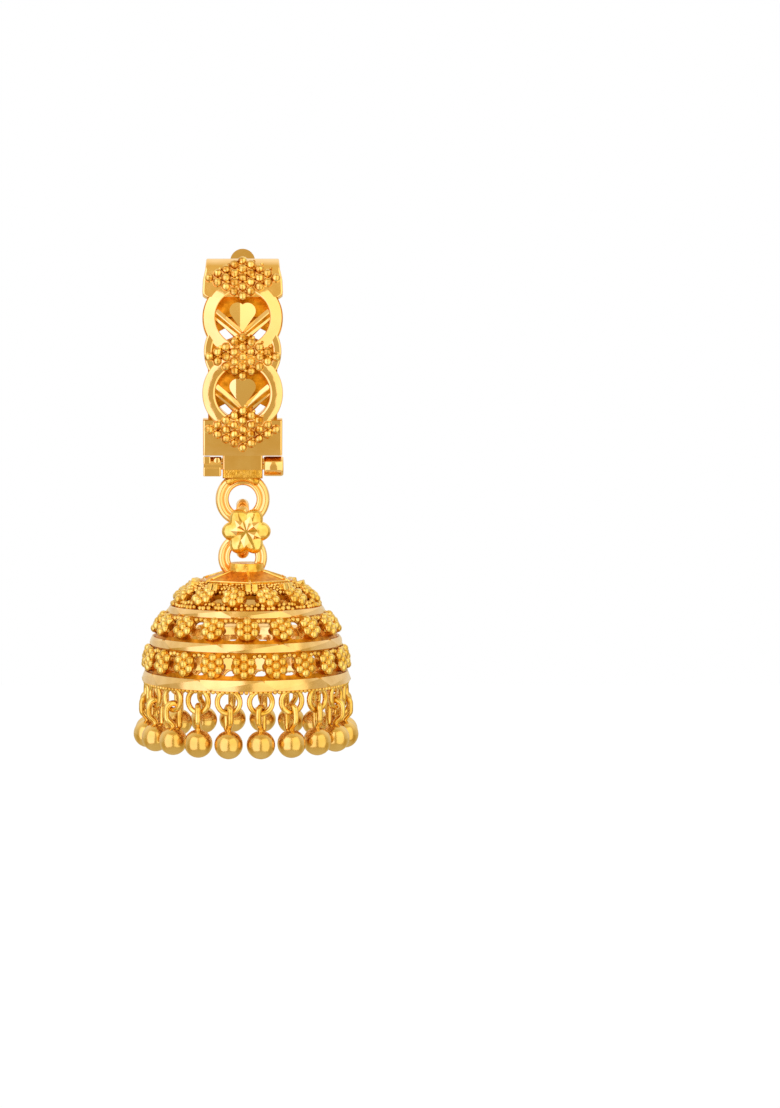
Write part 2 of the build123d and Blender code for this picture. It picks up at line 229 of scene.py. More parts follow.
def soft_box(half_width: Array | float, low: float, high: float, edge: float, steps: int = 3) -> Array:
    """Outlines of bars with rounded edges.

    Each corner is a quarter circle of radius edge, whose centre stands edge inside both sides.
    A further point on each flat, close to the corner, keeps the light on the flat even.

    Args:
        half_width: Half the width of each bar.
        low: Height of their undersides.
        high: Height of their tops.
        edge: Radius of their edges.
        steps: How many steps make a quarter circle.

    Returns:
        Points (width, height), with the half widths' own shape in front.
    """
    further = 0.4  # how far the further point stands from the corner, against its radius
    quarter = np.concatenate([[0], np.linspace(0, np.pi / 2, steps + 1), [np.pi / 2]])
    turn = np.concatenate([quarter + corner * np.pi / 2 for corner in range(4)])
    slide = np.tile(np.concatenate([[-further], np.zeros(steps + 1), [further]]), 4) * edge
    side = np.repeat([1, -1, -1, 1], steps + 3)
    middle = np.repeat([high - edge, high - edge, low + edge, low + edge], steps + 3)
    width = side * (np.asarray(half_width)[..., None] - edge) + edge * np.cos(turn) - slide * np.sin(turn)
    height = middle + edge * np.sin(turn) + slide * np.cos(turn)
    return np.stack([width, np.broadcast_to(height, width.shape)], axis=-1)


def turned(profile: Iterable[Pair], sides: int, ring: bool = False) -> Shell:
    """A profile turned round the z axis: x, y are the radius times cosine and sine of the turn.

    Args:
        profile: Points (radius, z). It starts and ends on the axis, unless it is a ring's.
        sides: How many steps make a turn.
        ring: Whether the profile is a closed outline away from the axis.

    Returns:
        The turned shell.
    """
    profile = np.asarray(profile, float)
    rows = profile if ring else profile[1:-1]
    grid = np.concatenate([
        rows[:, None, :1] * circle(sides)[None],
        np.broadcast_to(rows[:, None, 1:], (len(rows), sides, 1)),
    ], axis=-1)
    if ring:
        return grid_shell(grid)
    return grid_shell(grid, (np.array([0, 0, profile[0, 1]]), np.array([0, 0, profile[-1, 1]])))


def bead(radius: float, sides: int = 10, rings: int = 6) -> Shell:
    """A ball: a half circle turned round the z axis."""
    return turned(arc(np.linspace(-np.pi / 2, np.pi / 2, rings + 1), radius), sides)


def wire(path: Array, normal: Iterable[float], radius: float, sides: int, ring: bool = False) -> Shell:
    """Round wire along a path that lies in one plane.

    A circle is carried along the path, one of its axes on the plane's normal and the other
    across the path. At an open end the circle shrinks as a cosine while it runs on as a sine.

    Args:
        path: Points of the wire's middle.
        normal: Direction at right angles to the path's plane.
        radius: The wire's radius.
        sides: Steps round the wire.
        ring: Whether the path closes on itself.

    Returns:
        The wire.
    """
    if ring:
        tangent = np.roll(path, -1, axis=0) - np.roll(path, 1, axis=0)
    else:
        tangent = np.gradient(path, axis=0)
    tangent = tangent / np.linalg.norm(tangent, axis=1, keepdims=True)
    size = np.ones(len(path))
    poles = None
    if not ring:
        poles = (path[0] - radius * tangent[0], path[-1] + radius * tangent[-1])
        turn = np.radians([70.0, 45.0, 20.0])
        run_on = radius * np.sin(turn)[:, None]
        path = np.concatenate([path[0] - run_on * tangent[0], path, path[-1] + run_on[::-1] * tangent[-1]])
        tangent = np.pad(tangent, ((len(turn), len(turn)), (0, 0)), "edge")
        size = np.concatenate([np.cos(turn), size, np.cos(turn)[::-1]])
    normal = np.asarray(normal, float)
    loop = size[:, None, None] * circle(sides, radius)[None]
    grid = path[:, None] + loop[..., :1] * np.cross(tangent, normal)[:, None] + loop[..., 1:] * normal
    return grid_shell(grid, poles)


def pillow(loop: Array, rows: int, top: Callable[[Array, Array, Array], Array], foot: float) -> Shell:
    """A flat-footed form over an outline, whose top is a function of place.

    The outline shrinks towards the origin in even steps, and each step's height is
    top(share of the outline, x, y). The foot is flat.

    Args:
        loop: The outline's points (x, y), seen from the origin without overlap.
        rows: How many steps the top takes from its edge to the middle.
        top: Height as a function of the share of the outline, x and y.
        foot: Height of the flat foot.

    Returns:
        The form.
    """
    share = np.linspace(1, 0, rows + 1)[:-1, None]
    x, y = share * loop[:, 0], share * loop[:, 1]
    share = np.broadcast_to(share, x.shape)
    upper = np.stack([x, y, top(share, x, y)], axis=-1)
    lower = np.concatenate([loop, np.full((len(loop), 1), foot)], axis=1)[None]
    zero = np.zeros((1, len(loop)))
    peak = np.array([0, 0, float(np.mean(top(zero, zero, zero)))])
    return grid_shell(np.concatenate([lower, upper]), (np.array([0, 0, foot]), peak))


def soft_block(low: Iterable[float], high: Iterable[float], edge: float) -> Shell:
    """A box whose edges are rounded.

    Rounded outlines in y and z are stacked along x, and the end ones draw in by a quarter circle.

    Args:
        low: Its lowest corner.
        high: Its highest corner.
        edge: Radius of its edges.

    Returns:
        The box.
    """
    further = 1.4  # how far from each end its last even outline stands, against the edge's radius
    low, high = np.asarray(low, float), np.asarray(high, float)
    middle, half = (low + high) / 2, (high - low) / 2
    quarter = np.linspace(0, np.pi / 2, 4)
    draw_in = np.append(edge * (1 - np.sin(quarter)), 0)
    from_end = np.append(edge * (1 - np.cos(quarter)), further * edge)
    x = np.concatenate([low[0] + from_end, (high[0] - from_end)[::-1]])
    inset = np.concatenate([draw_in, draw_in[::-1]])[:, None, None]
    outline = soft_box(half[1], -half[2], half[2], edge, 2)
    inner = outline - np.sign(outline) * np.minimum(np.abs(outline), inset)
    grid = np.concatenate([np.broadcast_to(x[:, None, None], (*inner.shape[:2], 1)), inner], axis=-1)
    ends = tuple(np.array([end, middle[1], middle[2]]) for end in (low[0], high[0]))
    return grid_shell(grid + np.array([0, middle[1], middle[2]]), ends)


def hoops(centre: Array, wires: Iterable[Pair]) -> Shell:
    """Rings of round wire that stand facing the front, one inside the other.

    Args:
        centre: Their common middle.
        wires: Each ring's radius and its wire's radius.

    Returns:
        The rings.
    """
    upright = np.insert(circle(64), 1, 0, axis=1)
    return joined(wire(centre + ring * upright, (0, 1, 0), radius, 14, ring=True) for ring, radius in wires)


# --- Finishes -------------------------------------------------------------------------------


def linear(colour: str) -> tuple[float, float, float, float]:
    """A colour's linear values, by the sRGB curve: a straight foot, and a power above it.

    Args:
        colour: An sRGB hex colour.

    Returns:
        Its linear red, green and blue, and an alpha of 1.
    """
    values = np.array([int(colour[place : place + 2], 16) for place in (1, 3, 5)]) / 255
    foot, above = values / 12.92, ((values + 0.055) / 1.055) ** 2.4
    return (*np.where(values <= 0.04045, foot, above).tolist(), 1.0)


def add_node(
    tree: Tree,
    kind: str,
    inputs: dict | None = None,
    output: int | str = 0,
    stops: Iterable[tuple[float, str]] = (),
    **settings: str,
) -> Socket | None:
    """Adds a node to a tree.

    Args:
        tree: The material's or world's node tree.
        kind: The node's Blender type, less "ShaderNode".
        inputs: For each input, by name or number, its value or the output it is linked to.
        output: Name or number of the output that is wanted.
        stops: Places and sRGB hex colours of a colour ramp, the first and last ones at its ends.
        **settings: The node's own properties.

    Returns:
        The output, or None where the node ends the tree.
    """
    node = tree.nodes.new("ShaderNode" + kind)
    for name, value in settings.items():
        setattr(node, name, value)
    for name, value in (inputs or {}).items():
        if isinstance(value, Socket):
            tree.links.new(value, node.inputs[name])
        else:
            node.inputs[name].default_value = value
    if stops:
        marks = node.color_ramp.elements
        marks[0].position, marks[1].position = stops[0][0], stops[-1][0]
        marks[0].color, marks[1].color = linear(stops[0][1]), linear(stops[-1][1])
        for place, colour in stops[1:-1]:
            marks.new(place).color = linear(colour)
    return node.outputs[output] if len(node.outputs) else None


def new_material(name: str, surface: Callable[[Tree], Socket]) -> bpy.types.Material:
    """Makes a material.

    Args:
        name: The material's name.
        surface: Adds the surface's nodes to a tree and gives their last output.

    Returns:
        The material.
    """
    made = bpy.data.materials.new(name)
    made.use_nodes = True
    made.node_tree.nodes.clear()
    add_node(made.node_tree, "OutputMaterial", {"Surface": surface(made.node_tree)})
    return made


@dataclass(frozen=True)
class GoldFinish:
    """One way in which the 22-carat gold's surface was made.

    Attributes:
        name: The material's name.
        light, deep: Colours between which the tone drifts over the surface: the alloy's own, and in some
            finishes painted shade.
        drift: Size of a patch of one tone.
        smooth, dull: Least and most roughness.
        wear: Size of the marks that roughen it.
        grain: Size of the surface's own relief.
        depth: How deep that relief is.
    """

    name: str
    light: str
    deep: str
    drift: float
    smooth: float
    dull: float
    wear: float
    grain: float
    depth: float

    def shader(self, tree: Tree) -> Socket:
        """Adds the finish's nodes to a tree.

        One noise drifts the colour, a second one spreads the roughness as handling marks do,
        and a third gives the relief. Each one's scale is one over its size in metres.

        Args:
            tree: The material's node tree.

        Returns:
            The surface.
        """
        place = add_node(tree, "TexCoord", output="Object")

        def noise(size: float, detail: float) -> Socket:
            """Noise whose patches have a size in millimetres."""
            return add_node(tree, "TexNoise", {"Vector": place, "Scale": 1 / (size * MM), "Detail": detail})

        tones = ((0.35, self.deep), (0.65, self.light))
        tone = add_node(tree, "ValToRGB", {"Fac": noise(self.drift, 3.0)}, stops=tones)
        rough = add_node(tree, "MapRange", {
            "Value": noise(self.wear, 5.0), "From Min": 0.3, "From Max": 0.7,
            "To Min": self.smooth, "To Max": self.dull,
        })
        relief = add_node(tree, "Bump", {"Height": noise(self.grain, 2.0), "Distance": self.depth * MM})
        return add_node(tree, "BsdfPrincipled", {
            "Base Color": tone, "Metallic": 1.0, "Roughness": rough, "Normal": relief,
        })


class Finish(Enum):
    """The finishes of the earring."""

    # Lost-wax cast granules: a little soft, with pits, their tone drifting at random between paler and
    # browner patches.
    CAST = GoldFinish("gold_22k_cast_granulated", "#FADB90", "#DFB050", 0.9, 0.05, 0.16, 0.25, 0.14, 0.005)
    # The hoop's granules, cast with it: the same skin, worn unevenly. Their tone drifts at random in small
    # patches down to a brown that is painted shade, darkening the field to stand in for the shade between
    # granules.
    FIELD = GoldFinish("gold_22k_cast_field", "#FFE298", "#C4842A", 0.42, 0.05, 0.14, 0.25, 0.14, 0.005)
    # The ground between granules, as it left the pickling bath: dull, deeper and orange. The deep orange is
    # painted shade and painted warm reflection, standing in for what gathers in the hollows between granules.
    PICKLED = GoldFinish("gold_22k_pickled_ground_painted_shade", "#E09426", "#A9680F", 0.7, 0.3, 0.5, 0.25, 0.2, 0.012)
    # The same ground on the cap, where nothing stands on it: orange and faintly hammered. The orange is
    # painted warm reflection and shade, the light that the cap's hollow panels throw at each other.
    MATT = GoldFinish("gold_22k_matt_cap_painted_reflection", "#EFA624", "#CE800A", 0.5, 0.24, 0.42, 0.3, 0.3, 0.02)
    # Rims, plates and rings, polished by hand on a felt wheel: clear reflections, faint waves.
    POLISHED = GoldFinish("gold_22k_felt_polished", "#FFDAA8", "#FAD096", 2.0, 0.05, 0.12, 0.5, 1.6, 0.035)
    # Facets cut with a diamond tool: mirror bright and flat.
    CUT = GoldFinish("gold_22k_diamond_cut", "#FFDDAE", "#FFD7A2", 2.5, 0.05, 0.10, 0.4, 0.8, 0.003)
    # Cut bands, rubbed down with a steel burnisher after cutting: soft edges to the light.
    BURNISHED = GoldFinish("gold_22k_burnished_band", "#FAD69E", "#EEC68C", 1.2, 0.14, 0.24, 0.6, 0.9, 0.005)
    # Tumbled hollow balls: a soft satin without relief that shows.
    SATIN = GoldFinish("gold_22k_tumbled_satin", "#EFCB86", "#E4BB6E", 1.5, 0.17, 0.24, 0.3, 0.15, 0.002)
    # Solder that was left as it flowed: lumpy and duller.
    SOLDER = GoldFinish("gold_solder_as_flowed", "#FBCB6C", "#E0A842", 0.5, 0.16, 0.34, 0.3, 0.4, 0.06)


@cache
def material_of(finish: Finish) -> bpy.types.Material:
    """The finish's material, made once."""
    return new_material(finish.value.name, finish.value.shader)


class Side(Enum):
    """Sides of a height, by the name of the comparison that finds them."""

    ABOVE = "GREATER_THAN"
    BELOW = "LESS_THAN"


@dataclass(frozen=True)
class Level:
    """The zone on one side of a height."""

    height: float
    side: Side

    def mask(self, tree: Tree) -> Socket:
        """Adds nodes that give 1 within the zone and 0 elsewhere.

        Args:
            tree: The material's node tree.

        Returns:
            The mask.
        """
        place = add_node(tree, "TexCoord", output="Object")
        height = add_node(tree, "SeparateXYZ", {0: place}, "Z")
        return add_node(tree, "Math", {0: height, 1: self.height * MM}, operation=self.side.value)


@dataclass(frozen=True)
class Hollow:
    """The zone of the surfaces that face a hollow's middle.

    Attributes:
        centre: The hollow's middle.
        plane: 1 for each axis that counts, and 0 for the one that the hollow runs along.
    """

    centre: Triple
    plane: Triple

    def mask(self, tree: Tree) -> Socket:
        """Adds nodes that give 1 within the zone and 0 elsewhere.

        The zone is where the product of the normal and the way from the centre, both within
        the plane, is negative.

        Args:
            tree: The material's node tree.

        Returns:
            The mask.
        """
        place = add_node(tree, "TexCoord", output="Object")
        normal = add_node(tree, "TexCoord", output="Normal")
        centre = tuple(np.array(self.centre) * MM)
        away = add_node(tree, "VectorMath", {0: place, 1: centre}, operation="SUBTRACT")
        flat = add_node(tree, "VectorMath", {0: away, 1: self.plane}, operation="MULTIPLY")
        product = add_node(tree, "VectorMath", {0: normal, 1: flat}, "Value", operation="DOT_PRODUCT")
        return add_node(tree, "Math", {0: product, 1: 0.0}, operation="LESS_THAN")


def zoned_material(
    name: str, ground: Finish, zones: Iterable[tuple[Finish, Level | Hollow]]
) -> bpy.types.Material:
    """A material that wears several finishes.

    Args:
        name: The material's name.
        ground: The finish outside every zone.
        zones: Further finishes and where they show, each over the ones before it.

    Returns:
        The material.
    """

    def surface(tree: Tree) -> Socket:
        """Adds the ground and lays each zone over it.

        Args:
            tree: The material's node tree.

        Returns:
            The surface.
        """
        shown = ground.value.shader(tree)
        for finish, zone in zones:
            over = finish.value.shader(tree)
            shown = add_node(tree, "MixShader", {0: zone.mask(tree), 1: shown, 2: over})
        return shown

    return new_material(name, surface)


# --- Pieces ---------------------------------------------------------------------------------


def make_piece(
    name: str,
    shell: Shell,
    finish: Finish,
    body: Body,
    slot: str,
    crease: float = 38.0,
    replaces: Iterable[str] = (),
) -> None:
    """Makes a shell a piece of the scene, riding on a body.

    Args:
        name: The piece's name.
        shell: Its surface.
        finish: What it is finished in.
        body: The CAD body it moves with.
        slot: The record's material slot; not used.
        crease: Edges that turn by more than this many degrees stay sharp.
        replaces: CAD nodes that it stands for.
    """
    mesh = bpy.data.meshes.new(name)
    faces = shell.quads.tolist() + shell.fans.tolist()
    mesh.from_pydata((shell.points * MM).tolist(), [], faces)
    mesh.shade_smooth()
    mesh.set_sharp_from_angle(angle=np.radians(crease))
    mesh.materials.append(material_of(finish))
    piece = bpy.data.objects.new(name, mesh)
    bpy.context.scene.collection.objects.link(piece)
    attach(piece, body.value)
    if replaces:
        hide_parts(*replaces)
    log.info("%s: %d faces on %s", name, len(faces), body.value)


def dress_node(node: str, material: bpy.types.Material) -> None:
    """Gives a CAD node a material.

    Args:
        node: The node's name.
        material: The material.
    """
    mesh = frame["nodes"][node].data
    mesh.materials.clear()
    mesh.materials.append(material)
    log.info("%s: dressed in %s", node, material.name)


# --- Hoop -----------------------------------------------------------------------------------


@dataclass(frozen=True)
class HoopOutline:
    """The hoop's outer surface, seen from the side, as the CAD model has it.

    A front arc, a corner arc that touches it, and a straight run on top. A place on it is
    (x, run, rise): across, along from mid height, and out of the surface.
    """

    middle: float
    height: float = 17.5
    depth: float = 13.0
    shoulder: float = 4.6  # from mid depth out to the front arc's chord
    corner: float = 1.4

    @property
    def radius(self) -> float:
        """Radius of the front arc, from half its chord and its sag."""
        chord, sag = self.height / 2, self.depth / 2 - self.shoulder
        return (chord**2 + sag**2) / (2 * sag)

    @property
    def corner_height(self) -> float:
        """Height of the corner arc's centre."""
        return self.height / 2 - self.corner

    @property
    def corner_start(self) -> float:
        """Angle in radians at which the front arc gives way to the corner arc."""
        return float(np.arcsin(self.corner_height / (self.radius - self.corner)))

    @property
    def corner_y(self) -> float:
        """Y of the corner arc's centre."""
        reach = np.sqrt((self.radius - self.corner) ** 2 - self.corner_height**2)
        return float(self.radius - self.depth / 2 - reach)

    def run_at(self, height: Array | float) -> Array:
        """Run at which the front reaches a height.

        On the front arc it is the radius times the arc sine of the height over the radius,
        and on the corner arc it goes on in the same way.

        Args:
            height: Heights from mid height.

        Returns:
            The run at each.
        """
        size = np.abs(height)
        on_arc = self.radius * np.arcsin(np.minimum(size / self.radius, 1))
        lift = np.clip((size - self.corner_height) / self.corner, 0, 1)
        on_corner = self.corner_start * self.radius + (np.arcsin(lift) - self.corner_start) * self.corner
        return np.sign(height) * np.where(lift > np.sin(self.corner_start), on_corner, on_arc)

    def run_to(self, y: float) -> float:
        """Run at which the straight top reaches y."""
        corner = (np.pi / 2 - self.corner_start) * self.corner
        return self.corner_start * self.radius + corner + y - self.corner_y

    def front(self, flat: Array) -> Array:
        """Sends flat places (x, run, rise) onto the hoop's front.

        On the front arc the angle is the run over the arc's radius. Past the corner's start
        it is that start plus the rest over the corner's radius, up to a quarter turn, and
        what is left over runs straight back.

        Args:
            flat: The places.

        Returns:
            Their points x, y, z.
        """
        x, run, rise = flat[..., 0], flat[..., 1], flat[..., 2]
        size = np.abs(run)
        past = size - self.corner_start * self.radius
        free = np.where(past > 0, self.corner_start + past / self.corner, size / self.radius)
        straight = np.maximum(free - np.pi / 2, 0) * self.corner
        angle = np.minimum(free, np.pi / 2)
        arc_y, arc_z = self.radius - self.depth / 2 - self.radius * np.cos(angle), self.radius * np.sin(angle)
        corner_y = self.corner_y - self.corner * np.cos(angle) + straight
        corner_z = self.corner_height + self.corner * np.sin(angle)
        y = np.where(past > 0, corner_y, arc_y) - rise * np.cos(angle)
        z = np.where(past > 0, corner_z, arc_z) + rise * np.sin(angle)
        return np.stack([x, y, self.middle + np.sign(run) * z], axis=-1)

    def at_heights(self, flat: Array) -> Array:
        """Sends places (x, height, rise) onto the front, so that a circle stays one in front view."""
        return self.front(np.stack([flat[..., 0], self.run_at(flat[..., 1]), flat[..., 2]], axis=-1))


@dataclass
class HoopFront:
    """The decorated half: plates, two round links with hearts, and three granule fields."""

    outline: HoopOutline
    hinge: Array  # middle of the hinge's axis
    cover: float = 0.03  # how far a dressed edge stands out from the solid's
    band: float = 0.84  # how deep the plates and rims reach into the solid
    plate_edge: float = 0.13
    # Half width of the top plate, for heights from its foot up.
    plate_heights: tuple[float, ...] = (5.55, 5.75, 6.0, 7.0, 7.9, 8.6)
    plate_widths: tuple[float, ...] = (2.9, 3.26, 3.3, 3.26, 3.06, 3.0)
    plate_back: float = -2.96  # Y at which it ends over the post
    lower_plate: Triple = (-4.62, -7.55, 3.26)  # top, foot, half width
    # Curved plates beside the middle field: where they are centred, their arc and their width.
    middle_height: float = 1.05
    middle_radius: float = 3.17
    middle_turns: Pair = (-34.0, 28.0)
    middle_width: float = 0.72
    link_heights: Pair = (3.85, -2.37)
    link_radius: float = 3.3
    hole_radius: float = 2.28
    rim_rise: float = 0.19  # of a rim's inner edge, where it is highest
    rim_edges: Pair = (0.1, 0.07)  # width of its rounded edges, inside and outside
    # How each rim falls from its inner edge out: its slope there, and how that grows.
    rim_fall: tuple[Pair, ...] = ((0.22, 0.0), (0.01, 0.07))
    floor: float = -0.45  # of the hollow inside a rim
    root: float = 0.1  # how deep moats and hearts reach under it
    skin: float = 0.02  # how far a moat stands off the solid
    bowl_middle: float = 0.6  # over the link's own middle
    bowl_rise: float = 0.42
    # A bar's section, across and out, and its ends, from the rim to under the heart.
    bar_section: tuple[Pair, ...] = ((-0.4, -0.5), (0.4, -0.5), (0.4, -0.14), (0.1, 0.03), (-0.4, -0.18))
    bar_ends: tuple[Pair, Pair] = ((2.3, 0.42), (0.05, -1.5))
    heart_size: Pair = (2.16, 2.42)
    heart_lobe: float = 0.3  # a lobe's radius, against the heart's width
    heart_rise: float = 0.2
    heart_drop: float = 0.02  # of its middle under the link's
    # Each heart's crest across, and how steeply it falls to the left and to the right of it.
    heart_cuts: tuple[Triple, ...] = ((-0.2, 0.02, 0.17), (-0.55, 0.16, 0.015))
    field_heights: Triple = (7.1, 0.62, -5.35)
    granule: float = 0.39
    pit_granule: float = 0.14
    granule_lifts: Pair = (0.07, 0.04)  # of a granule's middle, and of a pit granule's over that
    granule_drifts: Pair = (0.01, 0.03)  # how far granules and pit granules stray
    granule_spread: Pair = (0.97, 1.06)  # smallest and largest, against their radius
    column_pitch: float = 0.69
    row_pitch: float = 0.79
    columns: int = 4  # to each side of a field's middle one
    # Blocks at the hinge, from its axis and the knuckles' front: lowest and highest corner, and
    # edge. The slotted block's outer, upper and lower part, and the tongue of the front plate.
    hinge_blocks: tuple[tuple[Triple, Triple, float], ...] = (
        ((-3.28, 0.0, 0.22), (-2.66, 0.7, 0.83), 0.1),
        ((-2.46, 0.1, 0.1), (-1.8, 0.7, 0.8), 0.2),
        ((-3.28, 0.0, -0.83), (-1.8, 0.7, -0.06), 0.1),
        ((-1.62, -0.1, -0.3), (1.62, 0.5, 1.0), 0.08),
    )
    knuckle: float = 0.8
    # The barrel's radius and its place along the hinge.
    barrel: tuple[Pair, ...] = (
        (0, 1.8), (0.7, 1.8), (0.74, 1.81), (0.8, 1.86), (0.83, 1.95),
        (0.83, 3.2), (0.8, 3.3), (0.74, 3.38), (0.7, 3.4), (0, 3.4),
    )
    # Solder on the tongue: its corners from the hinge's axis, and its edge.
    solder_block: tuple[Triple, Triple, float] = ((-1.62, -0.86, -0.98), (1.62, -0.3, -0.18), 0.12)
    # Solder on the ring: where it lies, how far in and to the front of the wire, and its radius.
    solder_turns: Pair = (55.0, 125.0)
    solder_shift: Pair = (0.05, 0.12)
    solder_radius: float = 0.42
    ring_height: float = -11.2
    ring_wires: tuple[Pair, ...] = ((1.905, 0.36), (1.40, 0.245))

    @property
    def ring_centre(self) -> Array:
        """Middle of the upper jump ring."""
        return np.array([0, self.hinge[1], self.outline.middle + self.ring_height])

    def build(self) -> None:
        """Builds and dresses every piece of the front half."""
        inside = Hollow((0.0, 0.0, self.outline.middle), (0.0, 1.0, 1.0))
        # Pickled where the granules stand, its deep orange painted shade, and polished towards the ear.
        ground = zoned_material("gold_22k_hoop_ground", Finish.PICKLED, [(Finish.POLISHED, inside)])
        dress_node("hoop_front", ground)
        body, slot = Body.HOOP, "gold_cast"
        make_piece("hoop_plates", self.plates(), Finish.POLISHED, body, slot)
        make_piece("hoop_link_rims", self.rims(), Finish.POLISHED, body, slot)
        # The moats round the hearts wear the pickled finish: painted shade in those hollows.
        make_piece("hoop_link_bowls", self.bowls(), Finish.PICKLED, body, slot)
        make_piece("hoop_link_bars", self.bars(), Finish.CUT, body, slot, crease=20)
        make_piece("hoop_hearts", self.hearts(), Finish.CUT, body, slot, crease=12)
        make_piece("hoop_granules", self.granules(), Finish.FIELD, body, slot)
        make_piece("hoop_knuckles", self.knuckles(), Finish.POLISHED, body, slot)
        make_piece("hoop_solder", self.solder(), Finish.SOLDER, body, slot)
        make_piece("hoop_ring", hoops(self.ring_centre, self.ring_wires), Finish.POLISHED, body, slot)

    def on_links(self, shell: Shell, lift: float = 0.0) -> list[Shell]:
        """The shell on each open link, lift over the link's middle."""
        return [shell.moved(y=height + lift).bent(self.outline.at_heights) for height in self.link_heights]

    def strip(self, runs: Array, half_widths: Array) -> Shell:
        """A plate bent over the hoop: a soft-edged section whose half width follows the run.

        Args:
            runs: Places along the hoop.
            half_widths: Half the plate's width at each.

        Returns:
            The plate.
        """
        sections = soft_box(half_widths, -self.band, self.cover, self.plate_edge)
        along = np.broadcast_to(runs[:, None], sections.shape[:2])
        grid = np.stack([sections[..., 0], along, sections[..., 1]], axis=-1)
        ends = (np.array([0, runs[0], -self.band / 2]), np.array([0, runs[-1], -self.band / 2]))
        return grid_shell(grid, ends).bent(self.outline.front)

    def middle_plate(self) -> Shell:
        """The curved plate right of the middle field: a soft-edged section turned along an arc.

        Returns:
            The plate, as places (x, height, rise).
        """
        half = self.middle_width / 2
        section = soft_box(half, -self.band, self.cover, self.plate_edge)
        turn = np.radians(np.linspace(*self.middle_turns, 18))
        radius = self.middle_radius + self.cover - half + section[:, 0]
        x = radius * np.cos(turn)[:, None]
        y = self.middle_height + radius * np.sin(turn)[:, None]
        return capped(np.stack([x, y, np.broadcast_to(section[:, 1], x.shape)], axis=-1))

    def plates(self) -> Shell:
        """The top plate with its return over the post, the lower plate, and the middle's sides.

        Returns:
            The plates.
        """
        foot, back = self.outline.run_at(self.plate_heights[0]), self.outline.run_to(self.plate_back)
        runs = np.linspace(foot, back, 40)
        widths = np.interp(runs, self.outline.run_at(np.array(self.plate_heights)), self.plate_widths)
        top = self.strip(runs, widths + self.cover)
        high, low, half_width = self.lower_plate
        runs = self.outline.run_at(np.linspace(high, low, 12))
        lower = self.strip(runs, np.full(len(runs), half_width + self.cover))
        side = self.middle_plate()
        sides = [side.scaled(way, 1, 1).bent(self.outline.at_heights) for way in (1, -1)]
        return joined([top, lower, *sides])

    def rims(self) -> Shell:
        """The links' polished rims: a section that falls away outwards, turned round.

        Its height is the inner edge's, less the width times the slope times the share of the
        width plus the growth times the share's cube.

        Returns:
            The rims.
        """
        inner, outer = self.hole_radius - self.cover, self.link_radius + self.cover
        width = outer - inner - sum(self.rim_edges)
        share = np.linspace(0, 1, 8)
        shells = []
        for height, (fall, growth) in zip(self.link_heights, self.rim_fall):
            rise = self.rim_rise - width * (fall * share + growth * share**3)
            low = rise[-1]
            section = np.concatenate([
                [(inner, -self.band), (inner, 0.08), (inner + 0.03, 0.15)],
                np.column_stack([inner + self.rim_edges[0] + width * share, rise]),
                [(outer - 0.02, low - 0.05), (outer, low - 0.15), (outer, -self.band)],
            ])
            shells.append(turned(section, 72, ring=True).moved(y=height).bent(self.outline.at_heights))
        return joined(shells)

    def bowls(self) -> Shell:
        """Moats round the upper part of each heart.

        The outline is the hole's upper arc and its chord. The height falls with the square of
        the distance from the link's middle, so the moat is deepest beside the rim.

        Returns:
            The moats.
        """
        reach = self.hole_radius + self.skin
        over = arc(np.radians(np.linspace(2, 178, 36)), reach)
        chord = np.linspace(over[-1], over[0], 14)[1:-1]
        loop = np.concatenate([over, chord]) - np.array([0, self.bowl_middle])

        def top(share: Array, x: Array, y: Array) -> Array:
            """Height of the moat at x, y from the loop's own centre."""
            away = np.hypot(x, y + self.bowl_middle) / reach
            return self.floor + self.skin + self.bowl_rise * (1 - away**2)

        return joined(self.on_links(pillow(loop, 8, top, self.floor - self.root), self.bowl_middle))

    def bars(self) -> Shell:
        """Two-faced bars that run down from the rim and meet under the heart.

        Returns:
            The bars.
        """
        section = np.array(self.bar_section)
        shells = []
        for way in (1, -1):
            start, end = np.array(self.bar_ends) * np.array([way, 1])
            path = np.linspace(start, end, 10)
            across = way * np.array([end[1] - start[1], start[0] - end[0]]) / np.linalg.norm(end - start)
            flat = path[:, None] + section[None, :, :1] * across
            rise = np.broadcast_to(section[None, :, 1:], (*flat.shape[:2], 1))
            shells += self.on_links(capped(np.concatenate([flat, rise], axis=-1)))
        return joined(shells)

    def heart_loop(self) -> Array:
        """Outline of a heart: two lobe arcs and straight flanks that touch them, tip down.

        Returns:
            The outline's points (x, y).
        """
        width, height = self.heart_size
        lobe = width * self.heart_lobe
        side, top = width / 2 - lobe, height / 2 - lobe
        reach = np.hypot(side, top + height / 2)
        touch = -np.arcsin(lobe / reach) - np.arctan2(side, top + height / 2)
        right = np.array([side, top]) + arc(np.linspace(touch, np.arccos(-side / lobe), 16), lobe)
        flank = np.linspace(np.array([0, -height / 2]), right[0], 7)[:-1]
        half = np.concatenate([flank, right])
        return np.concatenate([half, (half * np.array([-1, 1]))[-2:0:-1]])

    def hearts(self) -> Shell:
        """Hearts cut in two flat facets, which meet on an upright crest.

        Returns:
            The hearts.
        """
        shells = []
        for height, (crest, left, right) in zip(self.link_heights, self.heart_cuts):

            def top(share: Array, x: Array, y: Array) -> Array:
                """A flat table, less the fall away from the crest."""
                return self.heart_rise - np.where(x > crest, right * (x - crest), left * (crest - x))

            heart = pillow(self.heart_loop(), 14, top, self.floor - self.root)
            shells.append(heart.moved(y=height - self.heart_drop).bent(self.outline.at_heights))
        return joined(shells)

